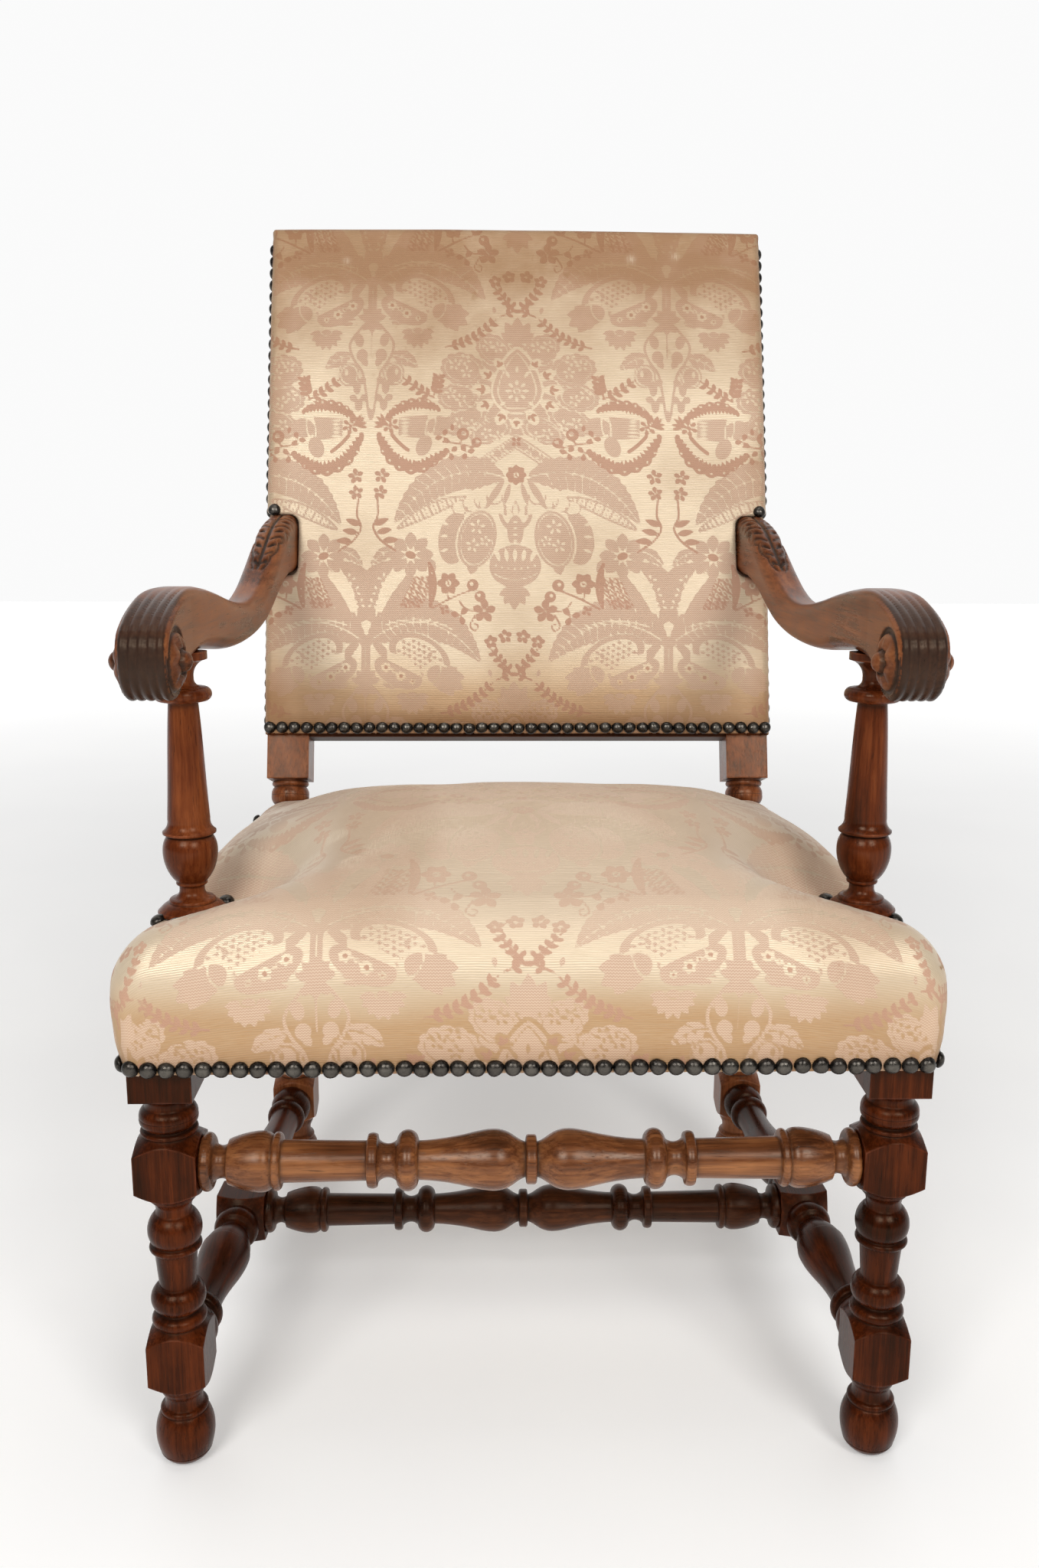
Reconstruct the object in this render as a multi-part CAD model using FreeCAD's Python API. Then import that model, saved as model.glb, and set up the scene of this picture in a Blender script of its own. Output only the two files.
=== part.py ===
import FreeCAD, Part
import math
import os

from FreeCAD import Vector as V, Placement, Rotation

os.makedirs("parts", exist_ok=True)

# ---------------------------------------------------------------------------
# Open-arm chair with turned legs, stuffed seat and raked stuffed back.
# Millimetres, +Z up, +X to the right as seen from the front, "left" is -X.
# While modelling, Y = 0 lies on the front leg axes and Y grows to the back;
# at the end everything is shifted so that the origin is at the middle of the
# overall box, at floor level.
# ---------------------------------------------------------------------------

# plan of the frame
HALF_FRONT = 283.0        # half distance between the front leg axes
HALF_REAR = 257.0         # half distance between the back post axes
DEPTH = 473.0             # front leg axis to back post axis at the kink
Y_CROSS = 217.0           # cross stretcher behind the front leg axes

# heights
Z_KINK = 355.4            # back posts start to lean here
Z_SIDE = 96.0             # axis of the side stretchers and cross stretcher
Z_FRONT = 263.0           # axis of the front stretcher
Z_RAIL_BOT = 357.0
Z_RAIL_TOP = 430.0
Z_BLOCK_BOT = 323.7       # lower edge of the front leg's top block
Z_NAILS = 355.4

# stock sizes
LEG = 48.5                # square of the front leg blocks
LEG_LOW = 45.5            # square of the low blocks and mid blocks
POST = 46.0               # square of the back posts
RAIL_T = 32.0             # front rail thickness
SIDE_RAIL_T = 40.0
BACK_RAIL_T = 28.0

# back
RAKE = 17.8               # lean of the back in degrees
S_BLOCK = 112.3           # start of the post's upper square, along the lean
S_PANEL = 157.0           # lower hem of the back cover
S_TOP = 743.0             # top of the posts
T_STUFF = 50.0            # front of the back stuffing ahead of the post axis
T_HEM = 32.0              # the same at the nailed lower hem
R_CROWN_X = 4200.0        # crown of the back across
R_CROWN_S = 5600.0        # crown of the back up and down

# arms and supports
ARM_SUP_X = 278.5
ARM_SUP_Y = 97.0
Z_SUP_BASE = 436.0
ARM_IN_FRONT, ARM_IN_REAR = 260.0, 246.0
ARM_OUT_FRONT, ARM_OUT_REAR = 298.0, 280.0
SCROLL_Y, SCROLL_Z, SCROLL_R = 5.0, 657.0, 29.0

# upholstery
SKIN = 2.0                # cover thickness
SEAT_FRONT = -32.0        # outer face of the seat cover at the front
SEAT_REAR = 514.5
SEAT_HALF_FRONT = 310.75  # outer face of the seat cover at the sides, y = 0
SEAT_HALF_SLOPE = 27.5 / 473.0
SEAT_BULGE = 5.0
Z_HEM = 349.5
Z_EDGE = 437.0
SEAT_CROWN = [(-32, 447), (0, 468), (50, 490), (100, 503), (150, 510), (200, 512),
              (250, 509), (300, 500), (350, 488), (400, 473), (450, 458), (490, 447), (515, 440)]

# nails
NAIL_R = 6.7
NAIL_H = 4.6
NAIL_PITCH = 13.9

A = math.radians(RAKE)
CA, SA = math.cos(A), math.sin(A)
TENON_R = 9.5
TENON_L = 22.0


# ---------------------------------------------------------------------------
# helpers
# ---------------------------------------------------------------------------
def good(shape):
    if shape.Volume < 0:
        shape.reverse()
    return shape


def lathe(z0, segs):
    """Turned solid about Z.  segs: first (r, z); then ('L', r, z),
    ('A', rm, zm, r, z) or ('S', [(r, z), ...])."""
    edges = []
    cur = V(segs[0][0], 0, segs[0][1])
    first = cur
    for s in segs[1:]:
        if s[0] == 'L':
            nxt = V(s[1], 0, s[2])
            edges.append(Part.LineSegment(cur, nxt).toShape())
        elif s[0] == 'A':
            nxt = V(s[3], 0, s[4])
            edges.append(Part.Arc(cur, V(s[1], 0, s[2]), nxt).toShape())
        else:
            pts = [cur] + [V(r, 0, z) for r, z in s[1]]
            c = Part.BSplineCurve()
            c.interpolate(pts)
            edges.append(c.toShape())
            nxt = pts[-1]
        cur = nxt
    a0, a1 = V(0, 0, first.z), V(0, 0, cur.z)
    edges = [Part.LineSegment(a0, first).toShape()] + edges + [
        Part.LineSegment(cur, a1).toShape(), Part.LineSegment(a1, a0).toShape()]
    w = Part.Wire(Part.__sortEdges__(edges))
    sol = Part.Face(w).revolve(V(0, 0, 0), V(0, 0, 1), 360)
    sol = good(Part.Solid(sol.Shells[0]) if sol.ShapeType != 'Solid' else sol)
    sol.translate(V(0, 0, z0))
    return sol


def block(half, z0, z1, r0, r1, c=11.0):
    """Square block whose ends are turned back to round shoulders."""
    big = half * 1.415 + 0.6
    prof = [(r0, z0), ('A', half + 1.2, z0 + c * 0.42, big, z0 + c), ('L', big, z1 - c),
            ('A', half + 1.2, z1 - c * 0.42, r1, z1)]
    body = lathe(0, prof)
    return body.common(Part.makeBox(2 * half, 2 * half, z1 - z0 + 2, V(-half, -half, z0 - 1)))


def fuse(parts):
    out = parts[0].multiFuse(parts[1:]) if len(parts) > 1 else parts[0]
    out = out.removeSplitter()
    return good(out.Solids[0]) if len(out.Solids) == 1 else out


def along(shape, start, direction):
    """Place a solid turned about Z so that Z runs along direction from start."""
    s = shape.copy()
    s.Placement = Placement(start, Rotation(V(0, 0, 1), direction))
    return s


def prism_x(pts, x0, x1):
    w = Part.makePolygon([V(x0, y, z) for y, z in pts] + [V(x0, pts[0][0], pts[0][1])])
    return good(Part.Face(w).extrude(V(x1 - x0, 0, 0)))


def prism_z(pts, z0, z1):
    w = Part.makePolygon([V(x, y, z0) for x, y in pts] + [V(pts[0][0], pts[0][1], z0)])
    return good(Part.Face(w).extrude(V(0, 0, z1 - z0)))


def rk(x, s, t):
    """Point in the leaning frame of the back: s up the post, t to the rear."""
    return V(x, DEPTH + s * SA + t * CA, Z_KINK + s * CA - t * SA)


def rbox(x0, x1, s0, s1, t0, t1):
    b = Part.makeBox(x1 - x0, t1 - t0, s1 - s0, V(x0, t0, s0))
    b.Placement = Placement(V(0, DEPTH, Z_KINK), Rotation(V(1, 0, 0), -RAKE))
    return b


def rplace(shape):
    """Solid built with local axes x, t, s moved into the leaning frame."""
    s = shape.copy()
    s.Placement = Placement(V(0, DEPTH, Z_KINK), Rotation(V(1, 0, 0), -RAKE)).multiply(shape.Placement)
    return s


def mirror(shape):
    return good(shape.mirror(V(0, 0, 0), V(1, 0, 0)))


def solids(shape):
    return shape.Solids


parts = {}


# ---------------------------------------------------------------------------
# turned stretchers
# ---------------------------------------------------------------------------
def half_front_stretcher(L, k):
    """Right half of the front stretcher, u from 0 (middle) to L (block face)."""
    f = L / 258.75
    q = lambda u: u * f
    r = lambda v: v * k
    return [(r(19.2), 0), ('L', r(19.2), q(2.2)), ('A', r(18.6), q(3.6), r(16.6), q(4.2)),
            ('L', r(13.6), q(4.8)),
            ('S', [(r(15.5), q(9)), (r(20.6), q(17)), (r(23.6), q(27.6)), (r(23.2), q(36)), (r(20.4), q(50)),
                   (r(17.6), q(64)), (r(15.9), q(77)), (r(15.1), q(88.6))]),
            ('L', r(18.6), q(89.6)), ('A', r(23.6), q(97.4), r(18.6), q(105.2)), ('L', r(15.6), q(106.2)),
            ('A', r(13.0), q(113.2), r(16.6), q(120.4)), ('L', r(20.2), q(121.2)),
            ('A', r(21.4), q(125), r(20.2), q(128.6)), ('L', r(15.4), q(129.6)),
            ('L', r(16.6), q(195.6)), ('L', r(20.8), q(196.4)), ('A', r(22.6), q(199.6), r(20.8), q(202.6)),
            ('L', r(20.2), q(203.2)),
            ('S', [(r(22.8), q(207)), (r(23.5), q(211)), (r(22.6), q(221)), (r(20.4), q(230)), (r(17.6), q(237.4))]),
            ('L', r(14.2), q(238.4)), ('A', r(12.6), q(243.4), r(15.2), q(248.4)),
            ('L', r(19.4), q(249.4)), ('A', r(22.8), q(254.2), r(19.2), L)]


def full_stretcher(L, k, tenon_r, tenon_l):
    half = lathe(0, half_front_stretcher(L, k))
    other = half.mirror(V(0, 0, 0), V(0, 0, 1))
    ten = Part.makeCylinder(tenon_r, 2 * (L + tenon_l), V(0, 0, -(L + tenon_l)))
    return fuse([half, good(other), ten])


half_len = HALF_FRONT - LEG / 2
front_stretcher = along(full_stretcher(half_len, 1.0, TENON_R, TENON_L), V(0, 0, Z_FRONT), V(1, 0, 0))
parts["front_stretcher"] = front_stretcher

# side stretchers converge to the back with the seat
side_dir = V(HALF_FRONT - HALF_REAR, DEPTH, 0)     # left side, x grows from -HALF_FRONT
side_len = side_dir.Length
side_u = V(side_dir).normalize()
mid_t = Y_CROSS / DEPTH
mid_x = HALF_FRONT + (HALF_REAR - HALF_FRONT) * mid_t


def half_side(u0, u1, flip):
    """Turned run between two blocks; the bulb lies towards the mid block."""
    n = u1 - u0
    g = lambda f: (u0 + f * n) if not flip else (u1 - f * n)
    seq = [(18.8, g(0.0)), ('A', 21.8, g(0.055), 18.8, g(0.11)), ('L', 15.4, g(0.12)), ('L', 15.4, g(0.145)),
           ('L', 18.4, g(0.15)), ('A', 20.4, g(0.18), 18.4, g(0.21)), ('L', 15.6, g(0.22)),
           ('S', [(15.2, g(0.30)), (16.4, g(0.40)), (19.0, g(0.50)), (21.8, g(0.60)), (22.8, g(0.68))]),
           ('L', 22.8, g(0.70)), ('L', 21.6, g(0.705)), ('L', 21.6, g(0.715)),
           ('S', [(20.2, g(0.77)), (17.0, g(0.82)), (14.6, g(0.85))]),
           ('A', 13.6, g(0.87), 15.6, g(0.89)), ('L', 18.8, g(0.90)), ('A', 21.0, g(0.94), 18.8, g(0.98)),
           ('L', 17.6, g(1.0))]
    return lathe(0, seq)


hb = LEG_LOW / 2
u_mid = side_len * mid_t
over = 3.0                                        # trimmed back to the leg faces below
run_a = half_side(hb - over, u_mid - hb, False)
run_b = half_side(u_mid + hb, side_len - POST / 2 + over, True)
mid = block(hb, u_mid - hb, u_mid + hb, 17.6, 17.6, 9.0)
side_turn = fuse([run_a, mid, run_b])
# the mid block stays level: X of the turned solid is laid flat, square to the run
flat = V(side_u.y, -side_u.x, 0)
rot = Rotation(flat, V(0, 0, 1), side_u, "ZXY")
side_left_body = side_turn.copy()
side_left_body.Placement = Placement(V(-HALF_FRONT, 0, Z_SIDE), rot)
keep = Part.makeBox(400, DEPTH - POST / 2 - hb, 200, V(-HALF_FRONT - 200, hb, Z_SIDE - 100))
side_left_body = side_left_body.common(keep)
side_ten = Part.makeCylinder(TENON_R, side_len - 2 * (hb - TENON_L), V(-HALF_FRONT, 0, Z_SIDE) + side_u * (hb - TENON_L), side_u)
side_left = fuse([side_left_body, side_ten])

# cross stretcher between the two mid blocks
cross_half = mid_x - hb / math.cos(math.atan2(HALF_FRONT - HALF_REAR, DEPTH)) - 0.05
cross = along(full_stretcher(cross_half + 2.0, 0.93, 8.5, 14.0), V(0, Y_CROSS, Z_SIDE), V(1, 0, 0))
cross_ten = Part.makeCylinder(8.5, 2 * (cross_half + 16.0), V(-(cross_half + 16.0), Y_CROSS, Z_SIDE), V(1, 0, 0))
side_left = side_left.cut(cross_ten)
side_left = good(side_left.Solids[0])
side_right = mirror(side_left)
cross = cross.cut(side_left).cut(side_right)
cross = good(max(cross.Solids, key=lambda s: s.Volume))
parts["cross_stretcher"] = cross
parts["side_stretcher_left"] = side_left
parts["side_stretcher_right"] = side_right


# ---------------------------------------------------------------------------
# front legs
# ---------------------------------------------------------------------------
FOOT = [(9.5, 0), ('A', 16.4, 3.2, 20.9, 9.0), ('L', 20.5, 9.5), ('L', 21.1, 10.0),
        ('S', [(23.0, 18), (23.7, 27), (22.4, 36), (19.0, 44)]), ('L', 18.0, 44.6),
        ('A', 19.2, 47.2, 17.2, 49.8), ('L', 15.8, 50.6), ('A', 15.2, 57.0, 17.6, 63.5),
        ('L', 18.4, 66.0), ('L', 18.4, 68.0)]
ANKLE = [(18.4, 124.0), ('L', 19.6, 124.6), ('A', 21.7, 129.4, 18.2, 134.2), ('L', 15.6, 135.0),
         ('L', 15.6, 137.0), ('L', 18.2, 137.8), ('A', 21.7, 147.2, 17.6, 156.4), ('L', 14.4, 157.4)]


def front_leg():
    foot = lathe(0, FOOT)
    low = block(LEG_LOW / 2, 68.0, 124.0, 18.4, 18.4, 11.0)
    shaft = lathe(0, ANKLE + [
        ('L', 16.9, 189.6), ('L', 19.8, 190.2), ('A', 20.7, 192.4, 19.8, 194.4), ('L', 17.6, 195.2),
        ('S', [(20.6, 201), (21.4, 207), (19.8, 214.5), (16.0, 220.2)]), ('L', 14.4, 221.0),
        ('A', 14.0, 226.5, 16.4, 232.0), ('L', 18.4, 234.4), ('L', 18.4, 236.0)])
    up = block(LEG / 2, 236.0, 290.0, 18.4, 19.8, 12.0)
    neck = lathe(0, [(19.8, 290.0), ('L', 21.6, 290.4), ('A', 22.4, 292.0, 21.4, 293.8), ('L', 18.2, 294.4),
                     ('L', 18.2, 295.4), ('L', 19.0, 295.8), ('A', 22.3, 299.4, 22.7, 303.6),
                     ('L', 22.2, 304.0), ('L', 22.7, 304.4), ('A', 21.9, 308.6, 19.2, 311.8), ('L', 18.2, 312.4),
                     ('A', 17.6, 317.0, 20.4, 321.4), ('L', 22.0, 322.2), ('L', 22.0, Z_BLOCK_BOT)])
    top = Part.makeBox(LEG, LEG, Z_RAIL_TOP - Z_BLOCK_BOT, V(-LEG / 2, -LEG / 2, Z_BLOCK_BOT))
    return fuse([foot, low, shaft, up, neck, top])


leg = front_leg()
leg.translate(V(-HALF_FRONT, 0, 0))

# ---------------------------------------------------------------------------
# back posts: one piece from foot to top, leaning above the kink
# ---------------------------------------------------------------------------
hp = POST / 2


def rear_post():
    foot = lathe(0, FOOT)
    low = block(LEG_LOW / 2, 68.0, 124.0, 18.4, 18.4, 11.0)
    shaft = lathe(0, ANKLE + [
        ('L', 17.4, 254.0), ('L', 19.8, 254.8), ('A', 20.7, 257.0, 19.8, 259.2), ('L', 17.4, 260.2),
        ('A', 21.6, 271.0, 17.4, 282.0), ('L', 15.6, 283.0), ('A', 15.2, 288.0, 18.6, 294.0), ('L', 20.0, 296.0)])
    lower = fuse([foot, low, shaft])
    lower.translate(V(-HALF_REAR, DEPTH, 0))
    s_low = 76.0
    tk = hp * math.tan(A / 2)
    knee = prism_x([(DEPTH - hp, 296.0), (DEPTH + hp, 296.0),
                    (rk(0, tk, hp).y, rk(0, tk, hp).z), (rk(0, s_low, hp).y, rk(0, s_low, hp).z),
                    (rk(0, s_low, -hp).y, rk(0, s_low, -hp).z), (rk(0, -tk, -hp).y, rk(0, -tk, -hp).z)],
                   -HALF_REAR - hp, -HALF_REAR + hp)
    ball = lathe(0, [(18.6, s_low), ('L', 18.0, 77.0), ('A', 16.6, 81.0, 17.8, 85.4), ('L', 18.6, 86.0),
                     ('A', 20.6, 90.0, 21.0, 94.6), ('L', 20.5, 95.0), ('L', 21.0, 95.4), ('A', 20.6, 99.6, 18.6, 103.6),
                     ('L', 17.6, 104.2), ('L', 18.4, 104.8), ('A', 20.4, 107.8, 18.8, 110.8), ('L', 19.6, S_BLOCK)])
    ball = rplace(ball)
    ball.translate(V(-HALF_REAR, 0, 0))
    upper = rbox(-HALF_REAR - hp, -HALF_REAR + hp, S_BLOCK, S_TOP, -hp, hp)
    return fuse([lower, knee, ball, upper])


post = rear_post()

# ---------------------------------------------------------------------------
# seat rails with tenons
# ---------------------------------------------------------------------------
TEN_T, TEN_H, TEN_L = 12.0, 50.0, 20.0
zc_rail = (Z_RAIL_BOT + Z_RAIL_TOP) / 2
xf = HALF_FRONT - LEG / 2
fr_y0 = -LEG / 2
front_rail = fuse([
    Part.makeBox(2 * xf, RAIL_T, Z_RAIL_TOP - Z_RAIL_BOT, V(-xf, fr_y0, Z_RAIL_BOT)),
    Part.makeBox(2 * (xf + TEN_L), TEN_T, TEN_H, V(-(xf + TEN_L), fr_y0 + 8.0, zc_rail - TEN_H / 2))])
parts["seat_rail_front"] = front_rail

# side rail: outer face flush with the leg and the post
ox0, ox1 = HALF_FRONT + LEG / 2, HALF_REAR + hp


def side_x(y, inset):
    return -(ox0 + (ox1 - ox0) * y / DEPTH) + inset


y_a, y_b = LEG / 2, DEPTH - hp
side_rail = prism_z([(side_x(y_a, 0), y_a), (side_x(y_b, 0), y_b),
                     (side_x(y_b, SIDE_RAIL_T), y_b), (side_x(y_a, SIDE_RAIL_T), y_a)], Z_RAIL_BOT, Z_RAIL_TOP)
t0, t1 = 17.0, 17.0 + TEN_T
side_tenon = prism_z([(side_x(y_a - TEN_L, t0), y_a - TEN_L + 4.0), (side_x(y_b + TEN_L, t0), y_b + TEN_L),
                      (side_x(y_b + TEN_L, t1), y_b + TEN_L), (side_x(y_a - TEN_L, t1), y_a - TEN_L + 4.0)],
                     zc_rail - TEN_H / 2, zc_rail + TEN_H / 2)
# the leaning post trims the back shoulder of the side rail
post_env = prism_x([(DEPTH - hp, 300.0), (DEPTH + 200, 300.0), (DEPTH + 200, 460.0),
                    (rk(0, 110, -hp).y, rk(0, 110, -hp).z), (rk(0, -hp * math.tan(A / 2), -hp).y, rk(0, -hp * math.tan(A / 2), -hp).z)],
                   -400, 400)
side_ext = prism_z([(side_x(y_b, 0), y_b - 1), (side_x(y_b + 30, 0), y_b + 30),
                    (side_x(y_b + 30, SIDE_RAIL_T), y_b + 30), (side_x(y_b, SIDE_RAIL_T), y_b - 1)], Z_RAIL_BOT, Z_RAIL_TOP)
side_rail = fuse([fuse([side_rail, side_ext]).cut(post_env), side_tenon])
# mortise for the arm support's tenon
SUP_TEN_R, SUP_TEN_L = 9.0, 34.0
sup_hole = Part.makeCylinder(SUP_TEN_R, SUP_TEN_L, V(-ARM_SUP_X, ARM_SUP_Y, Z_RAIL_TOP - SUP_TEN_L))
side_rail = side_rail.cut(sup_hole)
side_rail = good(side_rail.Solids[0])
parts["seat_rail_left"] = side_rail
parts["seat_rail_right"] = mirror(side_rail)

xr = HALF_REAR - hp
back_rail = fuse([rbox(-xr, xr, 4.0, 77.0, -BACK_RAIL_T / 2, BACK_RAIL_T / 2),
                  rbox(-(xr + TEN_L), xr + TEN_L, 14.0, 66.0, -6.0, 6.0)])
parts["seat_rail_back"] = back_rail

# back frame rails
rail_bot = fuse([rbox(-xr, xr, S_PANEL + 2, S_PANEL + 62, -21.0, 15.0),
                 rbox(-(xr + TEN_L), xr + TEN_L, S_PANEL + 12, S_PANEL + 52, -8.0, 4.0)])
rail_top = fuse([rbox(-xr, xr, S_TOP - 60, S_TOP, -21.0, 15.0),
                 rbox(-(xr + TEN_L), xr + TEN_L, S_TOP - 50, S_TOP - 12, -8.0, 4.0)])
parts["back_rail_bottom"] = rail_bot
parts["back_rail_top"] = rail_top

# ---------------------------------------------------------------------------
# arms: scrolled front, dip, rise to the post
# ---------------------------------------------------------------------------
TOP_LINE = [(-24, 659), (-23, 671), (-17, 681), (-4, 689), (14, 696), (36, 701.5), (60, 704.8), (92, 705.5), (130, 702), (170, 696),
            (220, 687), (266, 680.5), (305, 678), (340, 681), (375, 690), (415, 706.5), (455, 725.5), (490, 740.5),
            (525, 749.5), (560, 754.5), (600, 757)]
BOT_LINE = [(600, 690), (540, 692), (500, 689), (455, 679), (415, 665.5), (375, 653), (330, 645.5), (285, 642.5),
            (236, 642.5), (190, 645.5), (150, 650.5), (105, 654), (70, 654), (48, 651), (38, 645)]


def spline(points):
    c = Part.BSplineCurve()
    c.interpolate([V(0, y, z) for y, z in points])
    return c.toShape()


scroll_edge = Part.Arc(V(0, 38, 645), V(0, 12, 628.6), V(0, -24, 659)).toShape()
arm_wire = Part.Wire(Part.__sortEdges__([
    spline(TOP_LINE), Part.LineSegment(V(0, 600, 757), V(0, 600, 690)).toShape(), spline(BOT_LINE), scroll_edge]))
arm = good(Part.Face(arm_wire).extrude(V(-400, 0, 0)))
plan = prism_z([(-ARM_IN_FRONT, -60), (-ARM_IN_FRONT, 60), (-ARM_IN_REAR, 600), (-ARM_OUT_REAR, 600),
                (-ARM_OUT_FRONT + 1.0, 120), (-ARM_OUT_FRONT, 60), (-ARM_OUT_FRONT, -60)], 500, 900)
arm = arm.common(plan)
boss = fuse([Part.makeCylinder(19.5, ARM_OUT_FRONT - ARM_IN_FRONT + 8.0, V(-ARM_OUT_FRONT - 4.0, SCROLL_Y, SCROLL_Z), V(1, 0, 0)),
             Part.makeCylinder(8.5, ARM_OUT_FRONT - ARM_IN_FRONT + 20.0, V(-ARM_OUT_FRONT - 10.0, SCROLL_Y, SCROLL_Z), V(1, 0, 0))])
arm = fuse([arm.Solids[0], boss])
post_front = rbox(-400, 400, 0, 1200, -hp, 600)
arm = good(arm.cut(post_front).Solids[0])
# tenon into the post
arm_s = 395.0
arm_tenon = rbox(-HALF_REAR - 12 - 6, -HALF_REAR - 12 + 10, arm_s - 22, arm_s + 16, -hp - 0.5, -hp + 24)
arm = fuse([arm, arm_tenon])

# ---------------------------------------------------------------------------
# arm supports
# ---------------------------------------------------------------------------
support = lathe(0, [(24.0, Z_SUP_BASE), ('L', 24.0, 437.8), ('L', 28.0, 438.0), ('A', 28.6, 439.4, 27.4, 441.0),
                    ('A', 24.4, 444.2, 20.4, 446.8), ('L', 18.7, 447.4), ('A', 19.0, 448.9, 17.4, 450.4), ('L', 16.3, 450.8),
                    ('A', 11.5, 453.8, 10.3, 458.6), ('L', 10.2, 461.4), ('L', 12.2, 462.0), ('A', 12.8, 463.4, 12.2, 464.8),
                    ('S', [(15.4, 468.4), (20.0, 477.4), (22.2, 489.5), (21.2, 498), (18.6, 503.2)]),
                    ('L', 17.6, 503.8), ('L', 17.6, 505.0), ('L', 21.6, 505.6), ('L', 21.7, 507.2), ('A', 18.7, 510.4, 17.2, 517.6),
                    ('S', [(15.9, 540), (14.2, 576), (11.9, 613)]), ('L', 20.0, 614.8),
                    ('A', 23.1, 620.0, 19.8, 625.0), ('L', 15.0, 625.8), ('A', 10.3, 628.6, 9.3, 633.0),
                    ('A', 10.9, 641.0, 17.0, 646.8), ('L', 20.6, 648.0), ('L', 20.6, 654.4)])
plinth = Part.makeCylinder(24.0, Z_SUP_BASE - Z_RAIL_TOP, V(0, 0, Z_RAIL_TOP))
foot_ten = Part.makeCylinder(SUP_TEN_R, Z_SUP_BASE - Z_RAIL_TOP + SUP_TEN_L + 2, V(0, 0, Z_RAIL_TOP - SUP_TEN_L))
support = fuse([support, plinth, foot_ten])
support.translate(V(-ARM_SUP_X, ARM_SUP_Y, 0))
support = good(max(support.cut(arm).Solids, key=lambda s: s.BoundBox.ZLength))
top_ten = Part.makeCylinder(8.0, 60.0, V(-ARM_SUP_X, ARM_SUP_Y, 626.0))
arm = good(max(arm.cut(top_ten.common(Part.makeBox(100, 100, 46.0, V(-ARM_SUP_X - 50, ARM_SUP_Y - 50, 634.0)))).Solids, key=lambda s: s.Volume))
top_ten = Part.makeCylinder(8.0, 53.8, V(-ARM_SUP_X, ARM_SUP_Y, 626.0))
support = fuse([support, top_ten])
parts["arm_support_left"] = support
parts["arm_support_right"] = mirror(support)
parts["arm_left"] = arm
parts["arm_right"] = mirror(arm)

# mortises in legs and posts
for cutter in (front_stretcher, side_left, front_rail, side_rail):
    leg = leg.cut(cutter)
leg = good(max(leg.Solids, key=lambda s: s.Volume))
for cutter in (side_left, side_rail, back_rail, rail_bot, rail_top, arm):
    post = post.cut(cutter)
post = good(max(post.Solids, key=lambda s: s.Volume))
parts["front_leg_left"] = leg
parts["front_leg_right"] = mirror(leg)
parts["rear_post_left"] = post
parts["rear_post_right"] = mirror(post)


# ---------------------------------------------------------------------------
# seat: webbing, base cloth, stuffing, cover
# ---------------------------------------------------------------------------
def crown(y):
    pts = SEAT_CROWN
    for (y0, z0), (y1, z1) in zip(pts, pts[1:]):
        if y0 <= y <= y1:
            return z0 + (z1 - z0) * (y - y0) / (y1 - y0)
    return pts[-1][1]


def half_width(y):
    return SEAT_HALF_FRONT - SEAT_HALF_SLOPE * y


def section(y, inset, zb):
    w0 = half_width(y) - inset
    w1 = w0 + SEAT_BULGE
    ze = Z_EDGE - inset
    zt = crown(y) - inset
    top = []
    for u in (1.0, 0.95, 0.86, 0.7, 0.4, 0.0, -0.4, -0.7, -0.86, -0.95, -1.0):
        top.append(V(u * (w1 - 2.0), y, ze + (zt - ze) * (1 - abs(u) ** 5)))
    if zb < 400:
        right = [V(w0, y, zb), V(w0 + 0.8 * SEAT_BULGE, y, (zb + ze) / 2 - 8), V(w1, y, ze - 22), top[0]]
    else:
        right = [V(w1 - 2.0, y, zb), V(w1 - 2.0, y, (zb + ze) / 2), top[0]]
    left = [V(-p.x, p.y, p.z) for p in reversed(right)]

    def bs(p):
        c = Part.BSplineCurve()
        c.interpolate(p)
        return c.toShape()

    return Part.Wire([Part.LineSegment(left[-1], right[0]).toShape(), bs(right), bs(top), bs(left)])


def seat_body(inset, zb, y0, y1):
    ys = [y0, 0.0, 60.0, 140.0, 220.0, 300.0, 380.0, 450.0, 490.0, y1]
    return good(Part.makeLoft([section(y, inset, zb) for y in ys], True, False))


outer = seat_body(0.0, Z_HEM, SEAT_FRONT, SEAT_REAR)
inner = seat_body(SKIN, Z_HEM - 12.0, SEAT_FRONT + SKIN, SEAT_REAR + 6.0)
stuff = seat_body(SKIN + 0.2, 434.4, SEAT_FRONT + SKIN + 0.2, SEAT_REAR - 4.0)

tk_ = hp * math.tan(A / 2)
pc = [rk(0, -tk_, -hp - 1.5), rk(0, 230, -hp - 1.5)]
corner = prism_x([(DEPTH - hp - 1.5, 320), (pc[0].y, pc[0].z), (pc[1].y, pc[1].z), (DEPTH + 200, pc[1].z), (DEPTH + 200, 320)],
                 -345, -HALF_REAR + hp + 1.5)
sup_room = fuse([Part.makeCylinder(25.0, 120.0, V(-ARM_SUP_X, ARM_SUP_Y, 420.0)),
                 Part.makeCylinder(29.4, 102.6, V(-ARM_SUP_X, ARM_SUP_Y, 437.4))])
openings = [corner, mirror(corner), sup_room, mirror(sup_room)]

stuffing = stuff
for o in openings:
    stuffing = stuffing.cut(o)
parts["seat_stuffing"] = good(max(stuffing.Solids, key=lambda s: s.Volume))

flap = rbox(-400, 400, 1.0, 92.5, BACK_RAIL_T / 2 + 0.3, BACK_RAIL_T / 2 + 0.3 + SKIN)
cover = outer.cut(inner).fuse(flap)
for o in openings:
    cover = cover.cut(o)
cover_s = sorted(cover.Solids, key=lambda s: -s.Volume)
parts["seat_cover"] = good(cover_s[0])

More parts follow.
